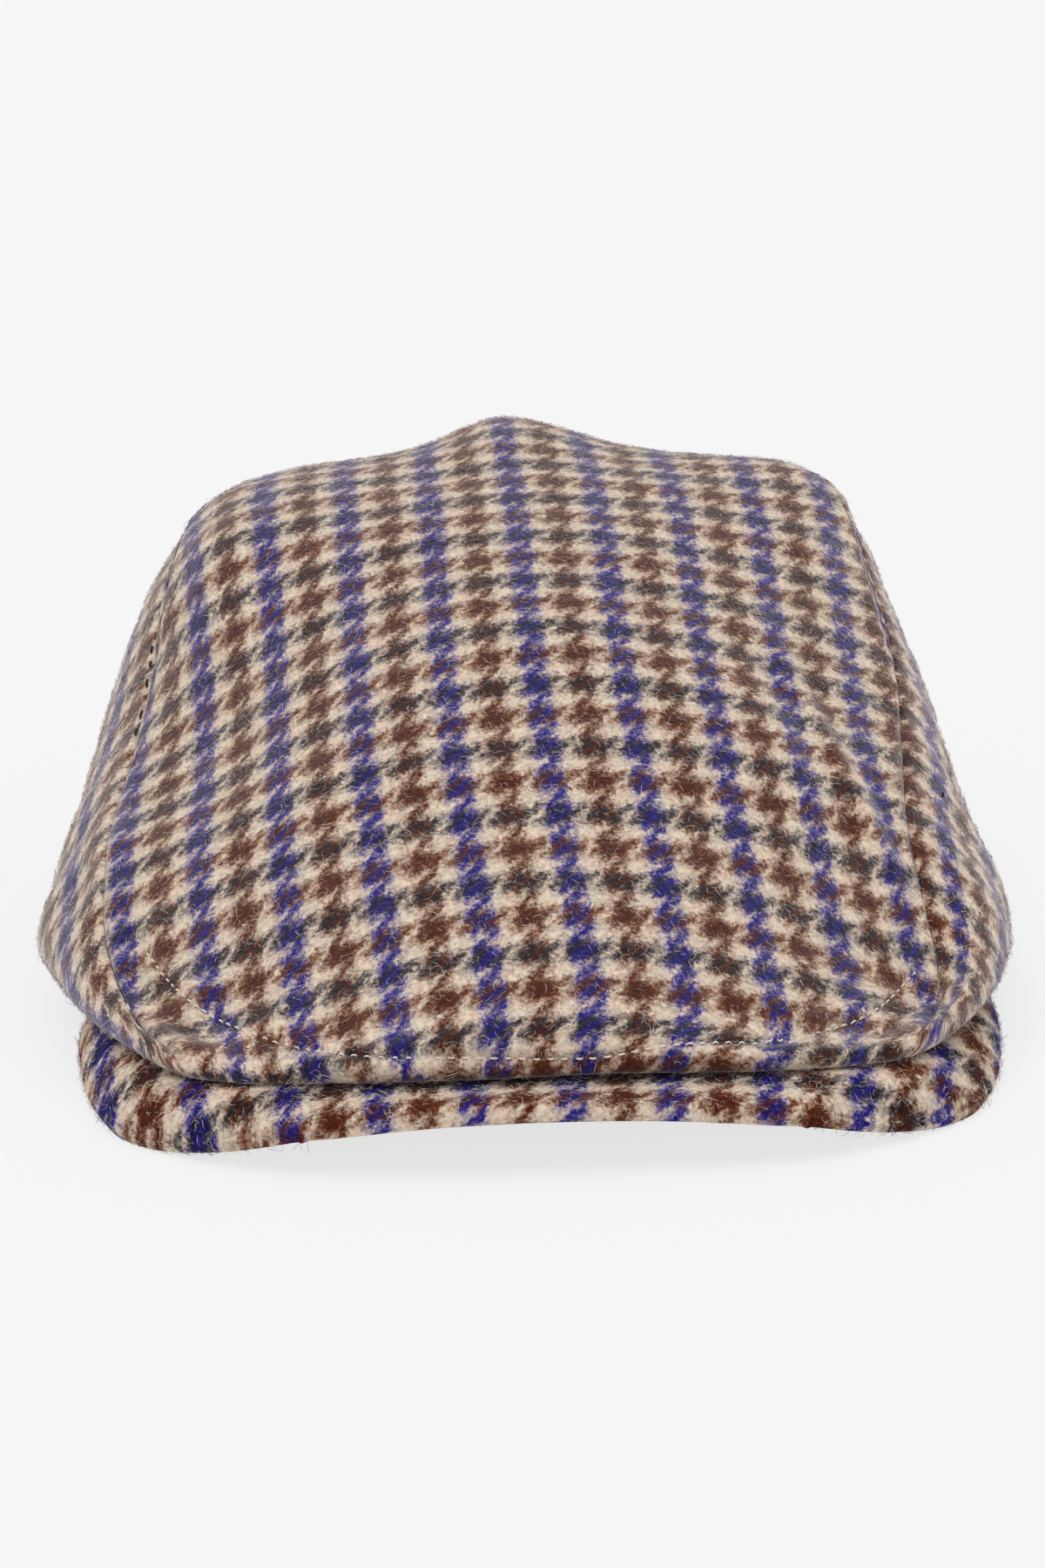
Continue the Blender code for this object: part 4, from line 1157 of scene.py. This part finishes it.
# Off-white top-stitching: each stitch dips into the cloth at both ends.
thread_white = plain("thread_off_white", linear(232, 224, 208), 0.6, 0.2, 0.3)
walk_s = np.concatenate([[0], np.cumsum(np.linalg.norm(np.diff(stitch_line, axis=0), axis=1))])
tree = BVHTree.FromPolygons([tuple(v) for v in base.reshape(-1, 3)],
                            [(i * base.shape[1] + j, i * base.shape[1] + j + 1, (i + 1) * base.shape[1] + j + 1,
                              (i + 1) * base.shape[1] + j) for i in range(base.shape[0] - 1)
                             for j in range(base.shape[1] - 1)])
rng = np.random.default_rng(7)
lines = []
for c in np.arange(2.6, walk_s[-1] - 1.5, 2.6):
    wide = 0.72 * rng.uniform(0.8, 1.1)
    t = np.linspace(-wide, wide, 7) + c + rng.uniform(-0.1, 0.1)
    at = np.stack([np.interp(t, walk_s, stitch_line[:, i]) for i in range(3)], -1)
    up_ = []
    for q in at:
        loc, nrm_, _, _ = tree.find_nearest(Vector(q))
        nrm_ = np.array(nrm_)
        up_.append(nrm_ if nrm_ @ (q - INSIDE) > 0 else -nrm_)
    up_ = np.array(up_)
    arch = -0.95 + 0.80 * np.cos(np.linspace(-1.25, 1.25, 7)) + rng.uniform(-0.08, 0.10)
    lines.append(at + up_ * arch[:, None])
tubes("top_stitching", lines, 0.19, 6, thread_white)

# A few dark stitches of the left seam show, and one on the right side.
thread_dark = plain("thread_dark", linear(40, 28, 26), 0.8, 0.1, 0.2)
seam_l = side_outer["left"][:, 1]
lines = []
for y_, half in ((148.5, 1.1), (144.5, 1.0), (139.5, 1.3), (131.0, 1.5), (125.5, 1.2)):
    m_ = int(np.argmin(np.abs(seam_l[:, 1] - y_) + 50 * (seam_l[:, 2] < 30)))
    d_ = unit(seam_l[m_ + 2] - seam_l[m_ - 2])
    off_ = np.linspace(-half, half, 7)[:, None]
    lines.append(seam_l[m_] + d_ * off_ + np.array([-0.10, -0.20, 0.30]) * np.cos(np.linspace(-1.5, 1.5, 7))[:, None])
tubes("seam_stitches_left", lines, 0.30, 6, thread_dark)
spot_r = side_outer["right"].reshape(-1, 3)
spot_r = spot_r[np.linalg.norm(spot_r - np.array([85.2, 93.2, 40.8]), axis=1).argmin()]
off_ = np.linspace(-1.0, 1.0, 7)[:, None]
tubes("stray_stitch_right", [spot_r + np.array([0.1, -0.3, 1.0]) * off_ + np.array([0.25, -0.20, 0.10])
                             * np.cos(np.linspace(-1.5, 1.5, 7))[:, None]], 0.22, 6, thread_dark)

# ------------------------------------------------------------------ floor, light, camera
bpy.ops.mesh.primitive_plane_add(size=60.0, location=(0, 20.0, 0))
floor = bpy.context.object
floor.name = "floor"
fm = bpy.data.materials.new("floor_white")
fm.use_nodes = True
fb = fm.node_tree.nodes["Principled BSDF"]
fb.inputs["Base Color"].default_value = (0.17, 0.17, 0.17, 1.0)
fb.inputs["Emission Color"].default_value = (1.0, 1.0, 1.0, 1.0)
fb.inputs["Emission Strength"].default_value = 0.735
fb.inputs["Roughness"].default_value = 1.0
fb.inputs["Specular IOR Level"].default_value = 0.0
floor.data.materials.append(fm)

world = bpy.data.worlds.new("studio")
bpy.context.scene.world = world
world.use_nodes = True
world.node_tree.nodes["Background"].inputs[0].default_value = (1.0, 1.0, 1.0, 1.0)
world.node_tree.nodes["Background"].inputs[1].default_value = 0.62


def sun(name, strength, direction, angle):
    d = bpy.data.lights.new(name, "SUN")
    d.energy = strength
    d.angle = math.radians(angle)
    o = bpy.data.objects.new(name, d)
    o.rotation_mode = "QUATERNION"
    o.rotation_quaternion = Vector(direction).to_track_quat("Z", "Y")
    bpy.context.scene.collection.objects.link(o)


sun("key", 1.22, (-0.30, -0.28, 1.0), 40)
sun("fill", 0.45, (0.5, -0.1, 0.9), 60)

cam_data = bpy.data.cameras.new("camera")
cam_data.lens = 81.72
cam_data.sensor_width = 36.0
cam_data.sensor_fit = "AUTO"
cam_data.clip_start, cam_data.clip_end = 0.01, 200.0
cam = bpy.data.objects.new("camera", cam_data)
bpy.context.scene.collection.objects.link(cam)
target, dist = Vector((0.0014, 0.0075, 0.037)), 0.770
alpha, yaw, roll = math.radians(15.0), math.radians(-2.0), math.radians(-1.0)
back = Vector((math.sin(yaw) * math.cos(alpha), -math.cos(yaw) * math.cos(alpha), math.sin(alpha)))
right = Vector((math.cos(yaw), math.sin(yaw), 0.0))
up = back.cross(right)
r2 = right * math.cos(roll) + up * math.sin(roll)
u2 = -right * math.sin(roll) + up * math.cos(roll)
cam.matrix_world = Matrix.Translation(target + back * dist) @ Matrix((r2, u2, back)).transposed().to_4x4()
bpy.context.scene.camera = cam
bpy.context.scene.view_settings.view_transform = "Standard"
